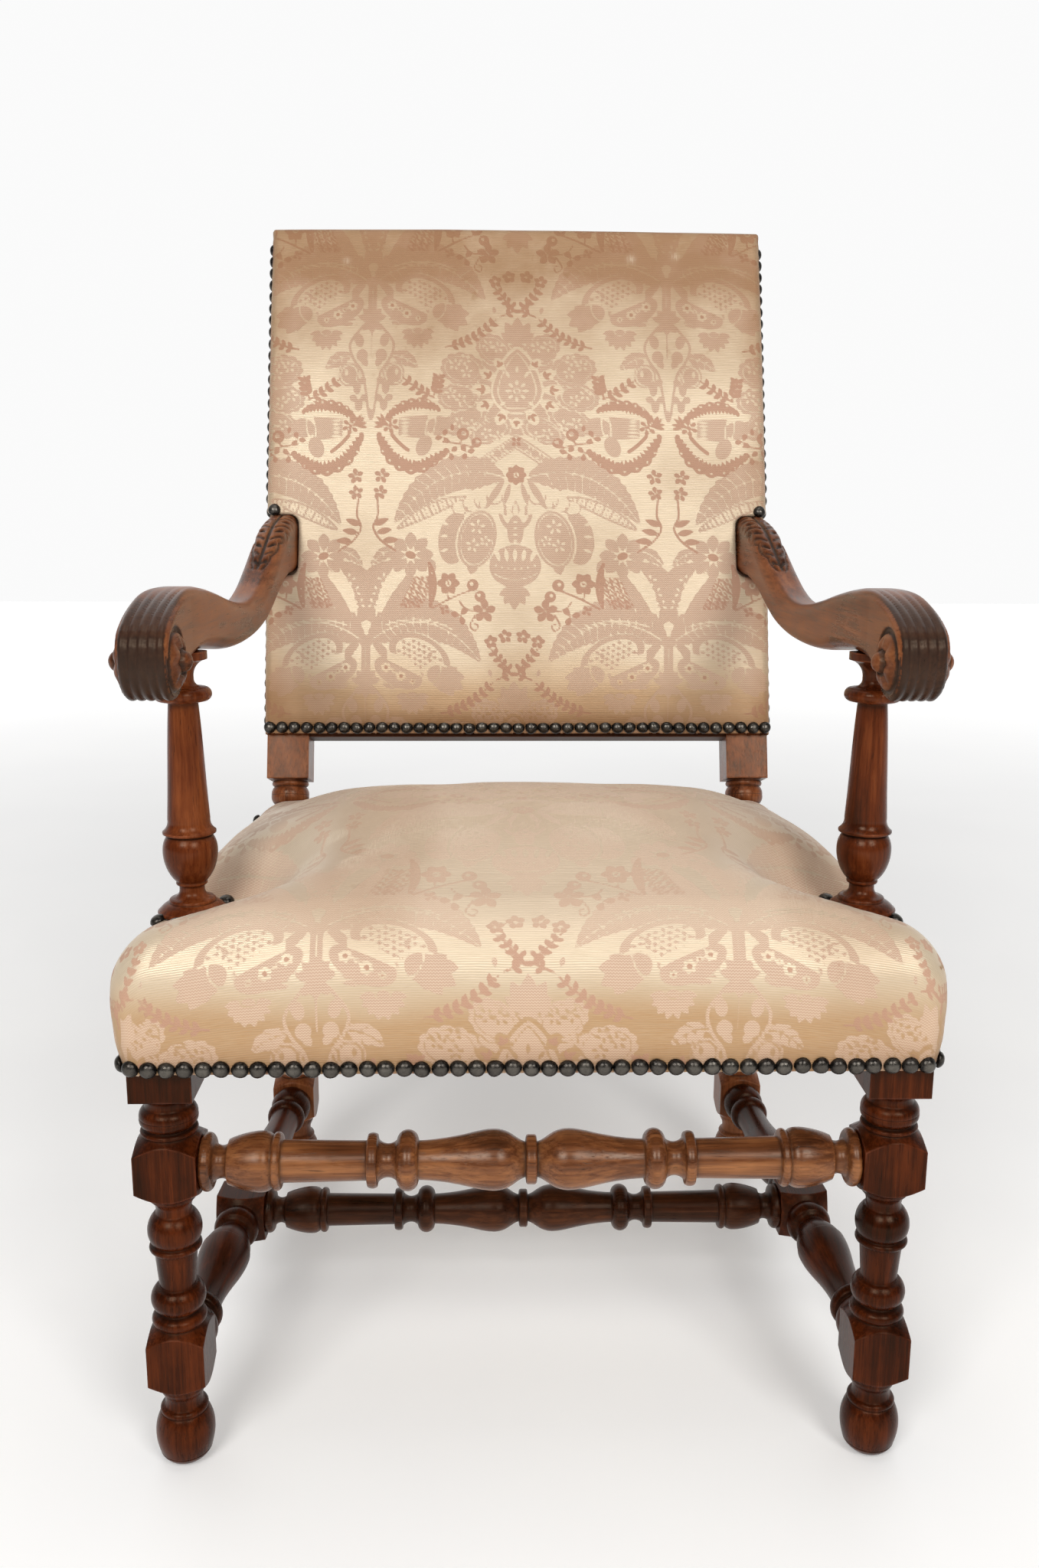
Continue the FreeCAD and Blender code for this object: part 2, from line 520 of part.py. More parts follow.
web = []
for x in (-180, -90, 0, 90, 180):
    web.append(Part.makeBox(54, 492, 1.5, V(x - 27, -20, Z_RAIL_TOP)))
cross_y = (42, 160, 245, 330, 412)
for y in cross_y:
    w = half_width(y) - 14.0
    web.append(Part.makeBox(2 * w, 50, 1.5, V(-w, y - 25, Z_RAIL_TOP + 1.6)))
parts["seat_webbing"] = Part.makeCompound(web)

base = prism_z([(-half_width(-22) + 9, -24), (half_width(-22) - 9, -24), (half_width(440) - 9, 446), (xr - 2, 446), (xr - 2, 490),
                (-xr + 2, 490), (-xr + 2, 446), (-half_width(440) + 9, 446)], Z_RAIL_TOP + 3.2, Z_RAIL_TOP + 4.2)
for o in openings:
    base = base.cut(o)
parts["seat_base_cloth"] = good(max(base.Solids, key=lambda s: s.Volume))


# ---------------------------------------------------------------------------
# back: webbing, base cloth, stuffing, cover, outside back
# ---------------------------------------------------------------------------
s_mid = (S_PANEL + S_TOP) / 2
XP = HALF_REAR + hp                                   # outer face of the posts
T_FRONT = -T_STUFF


def crowned(x, s0, s1, t_front, t_back):
    """Slab in the leaning frame with a gently crowned front."""
    b = Part.makeBox(2 * x, t_back - t_front + 20, s1 - s0, V(-x, t_front - 20, s0))
    c1 = Part.makeCylinder(R_CROWN_X, 1000, V(0, t_front + R_CROWN_X, s_mid - 500), V(0, 0, 1))
    c2 = Part.makeCylinder(R_CROWN_S, 1000, V(-500, t_front + R_CROWN_S, s_mid), V(1, 0, 0))
    d = T_FRONT - t_front                             # how far this layer lies outside the stuffing
    hem = prism_x([(-T_HEM - d, S_PANEL - 60), (-T_HEM - d, S_PANEL + 15), (T_FRONT - 6 - d, S_PANEL + 46), (-160, S_PANEL + 46),
                   (-160, S_PANEL - 60)], -400, 400)
    return rplace(good(b.common(c1).common(c2).cut(hem).Solids[0]))


back_outer = crowned(XP + 0.4 + SKIN, S_PANEL, S_TOP + 0.4 + SKIN, T_FRONT - SKIN, -6.0)
back_inner = crowned(XP + 0.4, S_PANEL - 20, S_TOP + 0.4, T_FRONT, 10.0)
back_stuff = crowned(XP, S_PANEL + 3, S_TOP, T_FRONT + 0.2, -26.2)
arm_room = (arm, mirror(arm))
top_flap = rbox(-XP - 0.4 - SKIN, XP + 0.4 + SKIN, S_TOP + 0.4, S_TOP + 0.4 + SKIN, -8.0, hp + 2.0)
bc = back_outer.cut(back_inner).fuse(top_flap)
bs_ = back_stuff
for a in arm_room:
    bc = bc.cut(a)
    bs_ = bs_.cut(a)
parts["back_cover"] = good(max(bc.Solids, key=lambda s: s.Volume))
parts["back_stuffing"] = good(max(bs_.Solids, key=lambda s: s.Volume))

bweb = []
for x in (-150, -50, 50, 150):
    bweb.append(rbox(x - 26, x + 26, S_PANEL + 10, S_TOP - 8, -22.6, -21.1))
for s in (255, 318, 458, 540, 622):
    bweb.append(rbox(-XP + 12, XP - 12, s - 25, s + 25, -24.7, -23.2))
parts["back_webbing"] = Part.makeCompound(bweb)
bbase = rbox(-XP + 3, XP - 3, S_PANEL + 6, S_TOP - 3, -25.9, -24.9)
for a in arm_room:
    bbase = bbase.cut(a)
parts["back_base_cloth"] = good(max(bbase.Solids, key=lambda s: s.Volume))
parts["back_outer_cover"] = rbox(-XP + 1, XP - 1, S_PANEL + 2, S_TOP - 1, hp + 0.2, hp + 1.8)


# ---------------------------------------------------------------------------
# round-headed nails
# ---------------------------------------------------------------------------
def nail():
    rb = NAIL_R
    return lathe(0, [(rb, 0.0), ('L', rb, 0.7), ('A', rb * 0.72, NAIL_H * 0.80, 1.2, NAIL_H), ('L', 0.6, NAIL_H)])


NAIL = nail()


def put(pos, axis):
    return along(NAIL, pos, axis)


seat_nails = []
wn = 301.0
n = 44
for i in range(n + 1):
    seat_nails.append(put(V(-wn + 2 * wn * i / n, SEAT_FRONT - 0.05, Z_NAILS), V(0, -1, 0)))
y0, y1 = -22.0, DEPTH - hp - 14.0
n = int(round((y1 - y0) / NAIL_PITCH))
side_n = V(1, SEAT_HALF_SLOPE, -0.13).normalize()
for i in range(n + 1):
    y = y0 + (y1 - y0) * i / n
    x = half_width(y) + 1.05
    for sg in (-1, 1):
        seat_nails.append(put(V(sg * x, y, Z_NAILS), V(sg * side_n.x, side_n.y, side_n.z)))
# short upright rows where the cover is cut beside the rear posts
for z, out, lean in ((370.0, 3.2, -0.11), (384.2, 4.6, -0.06), (398.4, 5.3, -0.03), (412.6, 5.6, 0.02), (426.4, 5.3, 0.14)):
    y = rk(0, (z - Z_KINK) / CA, -hp).y - 9.6
    for sg in (-1, 1):
        seat_nails.append(put(V(sg * (half_width(y) + out), y, z), V(sg, SEAT_HALF_SLOPE, lean).normalize()))
parts["seat_nails"] = Part.makeCompound(seat_nails)

# nails that hold the cover where it is cut around the arm supports
base_nails = []
for sg in (-1, 1):
    for ang in (-142, -100, -62, -24, 14, 52, 90, 132):
        a = math.radians(ang)
        px = ARM_SUP_X - 35.6 * math.cos(a)
        py = ARM_SUP_Y + 35.6 * math.sin(a)
        hw = half_width(py) + SEAT_BULGE - 2.0
        u = px / hw
        pz = Z_EDGE + (crown(py) - Z_EDGE) * (1 - abs(u) ** 5)
        dz = (crown(py) - Z_EDGE) * 5 * abs(u) ** 4 / hw
        nrm = V(sg * dz, 0, 1).normalize()
        base_nails.append(put(V(sg * px, py, pz) + nrm * 1.6, nrm))
parts["arm_base_nails"] = Part.makeCompound(base_nails)

back_nails = []
RV = Rotation(V(1, 0, 0), -RAKE)
front_axis = RV.multVec(V(0, -1, 0))
sb = S_PANEL + NAIL_R + 0.4
wb = XP - 4.0
n = int(round(2 * wb / NAIL_PITCH))
for i in range(n + 1):
    x = -wb + 2 * wb * i / n
    back_nails.append(put(rk(x, sb, -T_HEM - SKIN - 0.05), front_axis))
s0, s1 = S_PANEL + 21.0, S_TOP - 17.0
n = int(round((s1 - s0) / NAIL_PITCH))
xs = XP + 0.4 + SKIN + 0.05
for i in range(n + 1):
    s = s0 + (s1 - s0) * i / n
    for sg in (-1, 1):
        back_nails.append(put(rk(sg * xs, s, -27.0), V(sg, 0, 0)))
# one more on each side, where the cover is cut round the arm
for sg in (-1, 1):
    back_nails.append(put(rk(sg * 273.0, 412.0, -44.4), front_axis))
parts["back_nails"] = Part.makeCompound(back_nails)

# ---------------------------------------------------------------------------
# move the origin to the middle of the overall box and write the parts
# ---------------------------------------------------------------------------
lo = [1e9] * 3
hi = [-1e9] * 3
for s in parts.values():
    b = s.optimalBoundingBox(False)
    lo = [min(lo[0], b.XMin), min(lo[1], b.YMin), min(lo[2], b.ZMin)]
    hi = [max(hi[0], b.XMax), max(hi[1], b.YMax), max(hi[2], b.ZMax)]
shift = V(0, -(lo[1] + hi[1]) / 2.0, -lo[2])
print("box", [round(v, 2) for v in lo], [round(v, 2) for v in hi], "shift", round(shift.y, 3), round(shift.z, 3))
for name, s in parts.items():
    s = s.copy()
    s.translate(shift)
    bad = not s.isValid()
    print("%-22s solids %3d vol %10.1f%s" % (name, len(s.Solids), s.Volume, "  INVALID" if bad else ""))
    s.exportStep("parts/%s.step" % name)
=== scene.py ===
import math

import bmesh
import bpy
import numpy as np
from mathutils import Matrix, Vector
from mathutils.bvhtree import BVHTree
from mathutils.kdtree import KDTree


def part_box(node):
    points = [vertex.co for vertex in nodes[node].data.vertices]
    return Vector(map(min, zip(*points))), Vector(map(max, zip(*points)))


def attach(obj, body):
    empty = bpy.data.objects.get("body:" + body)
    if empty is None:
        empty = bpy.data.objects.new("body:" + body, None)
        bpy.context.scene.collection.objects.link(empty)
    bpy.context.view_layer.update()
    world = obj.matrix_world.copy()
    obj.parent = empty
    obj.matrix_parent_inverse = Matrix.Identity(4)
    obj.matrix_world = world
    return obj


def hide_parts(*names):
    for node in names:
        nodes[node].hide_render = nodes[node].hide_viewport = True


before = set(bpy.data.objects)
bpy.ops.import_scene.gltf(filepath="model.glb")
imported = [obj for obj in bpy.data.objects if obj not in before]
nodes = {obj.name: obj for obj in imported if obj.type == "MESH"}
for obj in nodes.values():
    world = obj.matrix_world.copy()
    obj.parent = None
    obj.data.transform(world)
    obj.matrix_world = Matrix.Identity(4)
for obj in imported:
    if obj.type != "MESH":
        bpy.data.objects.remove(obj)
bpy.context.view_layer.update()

scene = bpy.context.scene

# ---------------------------------------------------------------------------
# sizes, in millimetres, in the design frame: y is 0 on the axis of the front legs
# ---------------------------------------------------------------------------
lo_, hi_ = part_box("front_leg_left")
Y_SHIFT = -500.0 * (lo_.y + hi_.y)
RAKE = math.radians(17.8)
SA, CA = math.sin(RAKE), math.cos(RAKE)
DEPTH, Z_KINK, HP = 473.0, 355.4, 23.0
SUP_X, SUP_Y = 278.5, 97.0
SLOPE = 27.5 / 473.0


def row(p):
    """Design millimetres to row-frame metres, for an (n, 3) array."""
    q = np.array(p, float).reshape(-1, 3) / 1000.0
    q[:, 1] -= Y_SHIFT / 1000.0
    return q


def rk(x, s, t):
    """Point of the leaning back: across, up the post, towards the rear."""
    x, s, t = np.broadcast_arrays(np.asarray(x, float), np.asarray(s, float), np.asarray(t, float))
    return np.stack([x, DEPTH + s * SA + t * CA, Z_KINK + s * CA - t * SA], axis=-1)


def sstep(a, b, x):
    k = np.clip((x - a) / (b - a), 0.0, 1.0)
    return k * k * (3 - 2 * k)


def rmax(a, b, r):
    """Intersection of two distance fields with an edge of radius r."""
    return np.minimum(np.maximum(a, b), -r) + np.hypot(np.maximum(a + r, 0), np.maximum(b + r, 0))


def spline(px, py, x):
    """Smooth curve through points, as a table lookup."""
    px, py = np.asarray(px, float), np.asarray(py, float)
    m = np.zeros_like(px)
    d = np.diff(py) / np.diff(px)
    m[1:-1] = (d[:-1] * np.diff(px)[1:] + d[1:] * np.diff(px)[:-1]) / (px[2:] - px[:-2])
    m[0], m[-1] = d[0], d[-1]
    x = np.clip(x, px[0], px[-1])
    i = np.clip(np.searchsorted(px, x) - 1, 0, len(px) - 2)
    h = px[i + 1] - px[i]
    t = (x - px[i]) / h
    return ((2 * t**3 - 3 * t**2 + 1) * py[i] + (t**3 - 2 * t**2 + t) * h * m[i]
            + (-2 * t**3 + 3 * t**2) * py[i + 1] + (t**3 - t**2) * h * m[i + 1])


def lattice(n, seed):
    return np.random.RandomState(seed).rand(n, n, n) * 2 - 1


LAT = lattice(32, 7)


def vnoise(x, y, z=0.0):
    """Smooth value noise, -1 to 1, one lattice step per unit."""
    x, y, z = np.broadcast_arrays(np.asarray(x, float), np.asarray(y, float), np.asarray(z, float))
    ix, iy, iz = (np.floor(k).astype(int) for k in (x, y, z))
    fx, fy, fz = x - ix, y - iy, z - iz
    fx, fy, fz = (k * k * (3 - 2 * k) for k in (fx, fy, fz))
    out = 0.0
    for a in (0, 1):
        wa = fx if a else 1 - fx
        for b in (0, 1):
            wb = fy if b else 1 - fy
            for c in (0, 1):
                wc = fz if c else 1 - fz
                out = out + wa * wb * wc * LAT[(ix + a) % 32, (iy + b) % 32, (iz + c) % 32]
    return out


def surface(vol, ax, ay, az):
    """Quads on the zero level of a distance volume, one vertex per crossed cell."""
    s = vol < 0
    nx, ny, nz = vol.shape
    cnt = np.zeros((nx - 1, ny - 1, nz - 1), np.int8)
    for i in (0, 1):
        for j in (0, 1):
            for k in (0, 1):
                cnt += s[i:nx - 1 + i, j:ny - 1 + j, k:nz - 1 + k]
    cells = np.argwhere((cnt > 0) & (cnt < 8))
    index = -np.ones(cnt.shape, np.int64)
    index[tuple(cells.T)] = np.arange(len(cells))
    acc = np.zeros((len(cells), 3))
    num = np.zeros(len(cells))
    corner = [(i, j, k) for i in (0, 1) for j in (0, 1) for k in (0, 1)]
    val = {c: vol[cells[:, 0] + c[0], cells[:, 1] + c[1], cells[:, 2] + c[2]] for c in corner}
    for c in corner:
        for d in range(3):
            if c[d]:
                continue
            e = tuple(c[q] + (1 if q == d else 0) for q in range(3))
            a, b = val[c], val[e]
            hit = (a < 0) != (b < 0)
            t = np.where(hit, a / np.where(hit, a - b, 1.0), 0.0)
            p = np.zeros((len(cells), 3)) + np.array(c, float)
            p[:, d] += t
            acc[hit] += p[hit]
            num[hit] += 1
    pos = cells + acc / num[:, None]
    quads = []
    for d in range(3):
        o1, o2 = (d + 1) % 3, (d + 2) % 3
        sl_a = [slice(None)] * 3
        sl_b = [slice(None)] * 3
        sl_a[d], sl_b[d] = slice(0, -1), slice(1, None)
        sa, sb = s[tuple(sl_a)], s[tuple(sl_b)]
        e = np.argwhere(sa != sb)
        ok = (e[:, o1] > 0) & (e[:, o2] > 0) & (e[:, o1] < vol.shape[o1] - 1) & (e[:, o2] < vol.shape[o2] - 1)
        e = e[ok]
        up = sa[tuple(e.T)]
        q = []
        for a, b in ((-1, -1), (0, -1), (0, 0), (-1, 0)):
            c = e.copy()
            c[:, o1] += a
            c[:, o2] += b
            q.append(index[tuple(c.T)])
        q = np.stack(q, 1)
        q[~up] = q[~up][:, ::-1]
        quads.append(q)
    quads = np.concatenate(quads)
    out = np.empty_like(pos)
    for d, axis in enumerate((ax, ay, az)):
        out[:, d] = np.interp(pos[:, d], np.arange(len(axis)), axis)
    return out, quads[(quads >= 0).all(1)]


def new_mesh(name, verts, faces, smooth=True):
    me = bpy.data.meshes.new(name)
    me.from_pydata([tuple(v) for v in verts], [], [tuple(int(i) for i in f) for f in faces])
    me.validate()
    if smooth:
        me.polygons.foreach_set("use_smooth", [True] * len(me.polygons))
    ob = bpy.data.objects.new(name, me)
    scene.collection.objects.link(ob)
    return ob


def set_attr(ob, name, values, kind="FLOAT"):
    at = ob.data.attributes.new(name, kind, "POINT")
    if kind == "FLOAT":
        at.data.foreach_set("value", np.asarray(values, np.float32).ravel())
    else:
        at.data.foreach_set("vector", np.asarray(values, np.float32).ravel())


# ---------------------------------------------------------------------------
# camera, light, floor
# ---------------------------------------------------------------------------
cam_d = bpy.data.cameras.new("camera")
cam_d.sensor_fit = "VERTICAL"
cam_d.sensor_height = 36.0
cam_d.sensor_width = 36.0
cam_d.lens = 1723.32 / 2048.0 * 36.0
cam_d.clip_start, cam_d.clip_end = 0.05, 60.0
cam = bpy.data.objects.new("camera", cam_d)
scene.collection.objects.link(cam)
pitch, yaw, roll = math.radians(12.106), math.radians(1.390), math.radians(0.242)
F = Vector((math.sin(yaw) * math.cos(pitch), math.cos(yaw) * math.cos(pitch), -math.sin(pitch)))
R = Vector((math.cos(yaw), -math.sin(yaw), 0.0))
U = R.cross(F)
R2 = math.cos(roll) * R + math.sin(roll) * U
U2 = -math.sin(roll) * R + math.cos(roll) * U
cam_pos = row([[-33.77, -957.95, 772.08]])[0]
cam.matrix_world = Matrix(((R2.x, U2.x, -F.x, cam_pos[0]), (R2.y, U2.y, -F.y, cam_pos[1]),
                           (R2.z, U2.z, -F.z, cam_pos[2]), (0, 0, 0, 1)))
scene.camera = cam

world = bpy.data.worlds.new("studio")
scene.world = world
world.use_nodes = True
wnt = world.node_tree
wbg = wnt.nodes["Background"]
wbg.inputs["Strength"].default_value = 1.0
wtc = wnt.nodes.new("ShaderNodeTexCoord")
wsx = wnt.nodes.new("ShaderNodeSeparateXYZ")
wrp = wnt.nodes.new("ShaderNodeValToRGB")
wnt.links.new(wtc.outputs["Generated"], wsx.inputs[0])
wnt.links.new(wsx.outputs["Y"], wrp.inputs[0])
wnt.links.new(wrp.outputs[0], wbg.inputs["Color"])
wel = wrp.color_ramp.elements
wel[0].position, wel[0].color = 0.05, (0.15, 0.15, 0.15, 1)
wel[1].position, wel[1].color = 0.70, (0.96, 0.96, 0.96, 1)
scene.view_settings.view_transform = "Standard"
scene.view_settings.look = "None"
scene.view_settings.exposure = 0.0


def softbox(name, pos, aim, size, power, col=(1, 1, 1)):
    d = bpy.data.lights.new(name, "AREA")
    d.shape = "RECTANGLE"
    d.size, d.size_y = size
    d.energy = power
    d.color = col
    o = bpy.data.objects.new(name, d)
    scene.collection.objects.link(o)
    o.location = pos
    o.rotation_euler = (Vector(aim) - Vector(pos)).to_track_quat("-Z", "Y").to_euler()
    return o


softbox("key_left", (-1.15, -2.75, 2.35), (0, 0, 0.60), (1.3, 1.3), 59, (1.0, 0.985, 0.965))
softbox("key_right", (1.25, -2.65, 2.25), (0, 0, 0.60), (1.1, 1.3), 48, (1.0, 0.985, 0.965))
softbox("top", (0.0, -0.3, 3.0), (0, 0.05, 0.5), (1.6, 1.2), 12, (1.0, 0.985, 0.965))

fl = bpy.data.meshes.new("floor")
fl.from_pydata([(-9, -9, 0), (9, -9, 0), (9, 9, 0), (-9, 9, 0)], [], [(0, 1, 2, 3)])
floor = bpy.data.objects.new("floor", fl)
scene.collection.objects.link(floor)


# ---------------------------------------------------------------------------
# materials
# ---------------------------------------------------------------------------
class Graph:
    def __init__(self, name):
        self.mat = bpy.data.materials.new(name)
        self.mat.use_nodes = True
        self.nt = self.mat.node_tree
        self.nt.nodes.clear()
        self.out = self.nt.nodes.new("ShaderNodeOutputMaterial")
        self.bsdf = self.nt.nodes.new("ShaderNodeBsdfPrincipled")
        self.nt.links.new(self.bsdf.outputs[0], self.out.inputs[0])

    def put(self, sock, val):
        if isinstance(val, bpy.types.NodeSocket):
            self.nt.links.new(val, sock)
        elif val is not None:
            sock.default_value = val

    def node(self, kind, ins=None, out=0, **props):
        n = self.nt.nodes.new(kind)
        for k, v in props.items():
            setattr(n, k, v)
        for k, v in (ins or {}).items():
            self.put(n.inputs[k], v)
        return n.outputs[out]

    def math(self, op, a, b=None, c=None, clamp=False):
        n = self.nt.nodes.new("ShaderNodeMath")
        n.operation = op
        n.use_clamp = clamp
        for i, v in enumerate((a, b, c)):
            self.put(n.inputs[i], v)
        return n.outputs[0]

    def mix(self, fac, a, b, blend="MIX"):
        n = self.nt.nodes.new("ShaderNodeMix")
        n.data_type = "RGBA"
        n.blend_type = blend
        self.put(n.inputs[0], fac)
        for i, v in ((6, a), (7, b)):
            if isinstance(v, tuple) and len(v) == 3:
                v = v + (1.0,)
            self.put(n.inputs[i], v)
        return n.outputs[2]

    def remap(self, v, a, b, c=0.0, d=1.0, smooth=False):
        n = self.nt.nodes.new("ShaderNodeMapRange")
        n.interpolation_type = "SMOOTHSTEP" if smooth else "LINEAR"
        for i, k in enumerate((v, a, b, c, d)):
            self.put(n.inputs[i], k)
        return n.outputs[0]

    def ramp(self, fac, stops):
        n = self.nt.nodes.new("ShaderNodeValToRGB")
        e = n.color_ramp.elements
        while len(e) < len(stops):
            e.new(0.5)
        for q, (p, c) in zip(e, stops):
            q.position = p
            q.color = tuple(c) + (1.0,)
        self.put(n.inputs[0], fac)
        return n.outputs[0]

    def coords(self, scale=(1, 1, 1), loc=(0, 0, 0), src=None):
        if src is None:
            src = self.node("ShaderNodeTexCoord", out=3)
        return self.node("ShaderNodeMapping", {"Vector": src, "Location": loc, "Scale": scale})

    def noise(self, vec, scale=1.0, detail=3.0, rough=0.55, distort=0.0):
        return self.node("ShaderNodeTexNoise", {"Vector": vec, "Scale": scale, "Detail": detail,
                                                "Roughness": rough, "Distortion": distort})

    def attr(self, name, out=2):
        return self.node("ShaderNodeAttribute", out=out, attribute_name=name)

    def bump(self, height, strength, dist, normal=None):
        return self.node("ShaderNodeBump", {"Height": height, "Strength": strength, "Distance": dist,
                                            "Normal": normal})


def lin(r, g, b):
    """sRGB 0..255 to linear."""
    return tuple((c / 255 / 12.92) if c / 255 <= 0.04045 else ((c / 255 + 0.055) / 1.055) ** 2.4 for c in (r, g, b))


def wood(name, axis, seed, dark, mid, light, rough=0.33, worn=0.5, recess_shade=0.75, darkening=None, spec=0.28, tint=(1.0, 0.80, 0.62)):
    """Polished wood, grain along one axis, with painted shade in the recesses and rubbed on the edges."""
    g = Graph(name)
    along = {"x": 0, "y": 1, "z": 2}[axis]

    def vec(across, length):
        s = [across] * 3
        s[along] = length
        return g.coords(tuple(s), (seed * 3.1, seed * 1.7, seed * 2.3))

    broad = g.noise(vec(34, 3.2), 1.0, 5, 0.6, 0.6)
    fibre = g.noise(vec(330, 11), 1.0, 4, 0.6, 0.3)
    pores = g.noise(vec(1250, 46), 1.0, 2, 0.5)
    figure = g.noise(g.coords((1, 1, 1), (seed, 0, seed)), 17.0, 3, 0.5, 0.3)
    f = g.math("MULTIPLY_ADD", broad, 0.56, g.math("MULTIPLY", fibre, 0.44))
    f = g.math("MULTIPLY_ADD", g.math("SUBTRACT", figure, 0.5), 0.42, f)
    col = g.ramp(f, [(0.33, dark), (0.5, mid), (0.68, light)])
    pore = g.remap(pores, 0.60, 0.74, 0.0, 1.0, True)
    col = g.mix(g.math("MULTIPLY", pore, 0.62), col, tuple(c * 0.22 for c in dark))
    # painted shade: the colour goes nearly black where the part's own surface is occluded, in its recesses
    ao = g.node("ShaderNodeAmbientOcclusion", {"Distance": 0.016}, out=1, samples=8, only_local=True)
    cav = g.math("SUBTRACT", 1.0, g.remap(ao, 0.22, 0.86, 0.0, 1.0), clamp=True)
    cavn = g.math("MULTIPLY", cav, g.remap(figure, 0.3, 0.7, 0.7, 1.15))
    col = g.mix(g.math("MULTIPLY", cavn, recess_shade, clamp=True), col, (0.012, 0.006, 0.004))
    # dark brown from a mesh attribute: painted shade in the carved recesses, and a darker front to the scroll
    if darkening:
        dark_fac = g.attr(darkening)
        col = g.mix(g.math("MULTIPLY", dark_fac, g.remap(figure, 0.25, 0.7, 0.85, 1.0), clamp=True), col, lin(33, 26, 23))
    bev = g.node("ShaderNodeBevel", {"Radius": 0.0022}, samples=6)
    tn = g.node("ShaderNodeNewGeometry", out=1)
    dot = g.node("ShaderNodeVectorMath", {0: bev, 1: tn}, out=1, operation="DOT_PRODUCT")
    edge = g.remap(dot, 0.995, 0.90, 0.0, 1.0, True)
    edge = g.math("MULTIPLY", edge, g.remap(ao, 0.72, 0.98, 0.0, 1.0))
    patch = g.remap(g.noise(g.coords((1, 1, 1), (seed, seed, 0)), 42.0, 4, 0.6), 0.40, 0.68, 0.0, 1.0)
    edge = g.math("MULTIPLY", edge, g.math("MULTIPLY", patch, worn, clamp=True))
    col = g.mix(edge, col, tuple(min(1.0, c * 1.9 + 0.02) for c in light))
    g.put(g.bsdf.inputs["Base Color"], col)
    r = g.math("MULTIPLY_ADD", fibre, 0.16, rough - 0.08)
    r = g.math("MULTIPLY_ADD", cavn, 0.25, r)
    r = g.math("MULTIPLY_ADD", g.math("SUBTRACT", figure, 0.5), 0.22, r)
    g.put(g.bsdf.inputs["Roughness"], r)
    g.bsdf.inputs["Specular IOR Level"].default_value = spec
    g.bsdf.inputs["Specular Tint"].default_value = tuple(tint) + (1.0,)
    h = g.math("SUBTRACT", g.math("MULTIPLY", fibre, 0.5), pore)
    g.put(g.bsdf.inputs["Normal"], g.bump(h, 0.22, 0.0004, bev))
    return g.mat


WAL_D, WAL_M, WAL_L = lin(24, 7, 2), lin(53, 18, 4), lin(88, 37, 12)
SUP_D, SUP_M, SUP_L = lin(52, 21, 8), lin(86, 37, 14), lin(120, 62, 30)
ARM_D, ARM_M, ARM_L = lin(65, 31, 15), lin(117, 64, 35), lin(150, 93, 56)
GOL_D, GOL_M, GOL_L = lin(50, 24, 11), lin(103, 59, 32), lin(152, 98, 57)
CRO_D, CRO_M, CRO_L = lin(26, 10, 5), lin(62, 29, 13), lin(98, 53, 27)
STA_D, STA_M, STA_L = lin(44, 22, 13), lin(78, 42, 25), lin(104, 60, 38)
BEE_D, BEE_M, BEE_L = lin(120, 86, 52), lin(160, 124, 82), lin(188, 152, 108)
mat_wood = {
    "leg": wood("walnut_legs", "z", 1.0, WAL_D, WAL_M, WAL_L, rough=0.26, worn=0.8, recess_shade=0.9, spec=0.15, tint=(1.0, 0.72, 0.5)),
    "post": wood("walnut_posts", "z", 2.0, ARM_D, ARM_M, ARM_L, rough=0.30, worn=0.6, recess_shade=0.9),
    "sup": wood("walnut_supports", "z", 3.0, SUP_D, SUP_M, SUP_L, rough=0.24, worn=0.8, recess_shade=0.9, spec=0.19, tint=(1.0, 0.74, 0.54)),
    "arm": wood("walnut_arms", "y", 4.0, ARM_D, ARM_M, ARM_L, rough=0.31, worn=0.45, recess_shade=0.85, darkening="carve_shade", spec=0.23, tint=(1.0, 0.78, 0.58)),
    "strx": wood("walnut_stretcher_front", "x", 5.0, GOL_D, GOL_M, GOL_L, rough=0.27, worn=0.9, recess_shade=0.9, spec=0.38, tint=(1.0, 0.86, 0.72)),
    "strc": wood("walnut_stretcher_cross", "x", 9.0, CRO_D, CRO_M, CRO_L, rough=0.3, worn=0.7, recess_shade=0.9, spec=0.22),
    "stry": wood("walnut_stretchers_side", "y", 6.0, WAL_D, WAL_M, WAL_L, rough=0.3, worn=0.8, recess_shade=0.9, spec=0.15, tint=(1.0, 0.72, 0.5)),
    "railx": wood("beech_rails_x", "x", 7.0, BEE_D, BEE_M, BEE_L, rough=0.62, worn=0.1, recess_shade=0.4),
    "raild": wood("beech_rail_stained", "x", 7.5, STA_D, STA_M, STA_L, rough=0.5, worn=0.2, recess_shade=0.6),
    "raily": wood("beech_rails_y", "y", 8.0, BEE_D, BEE_M, BEE_L, rough=0.62, worn=0.1, recess_shade=0.4),
}


def nail_metal():
    g = Graph("nail_bronze")
    dome = g.attr("dome")
    tone = g.attr("tone")
    n = g.noise(g.coords(), 260.0, 4, 0.6)
    col = g.mix(g.remap(n, 0.35, 0.7), lin(30, 29, 28), lin(72, 67, 60))
    # painted highlight: lighter on the top of each dome
    col = g.mix(g.remap(dome, 0.6, 1.0, 0.0, 0.5, True), col, lin(116, 111, 103))
    # painted shade: darker round the low rim of each dome
    col = g.mix(g.remap(dome, 0.25, 0.0, 0.0, 0.8), col, lin(22, 17, 14))
    col = g.mix(g.remap(tone, 0.0, 1.0, 0.0, 0.5), col, lin(40, 35, 33))
    g.put(g.bsdf.inputs["Base Color"], col)
    g.put(g.bsdf.inputs["Metallic"], g.remap(n, 0.3, 0.75, 0.95, 0.55))
    g.put(g.bsdf.inputs["Roughness"], g.remap(n, 0.3, 0.7, 0.19, 0.38))
    g.put(g.bsdf.inputs["Normal"], g.bump(g.noise(g.coords(), 700.0, 3, 0.6), 0.25, 0.0006))
    return g.mat


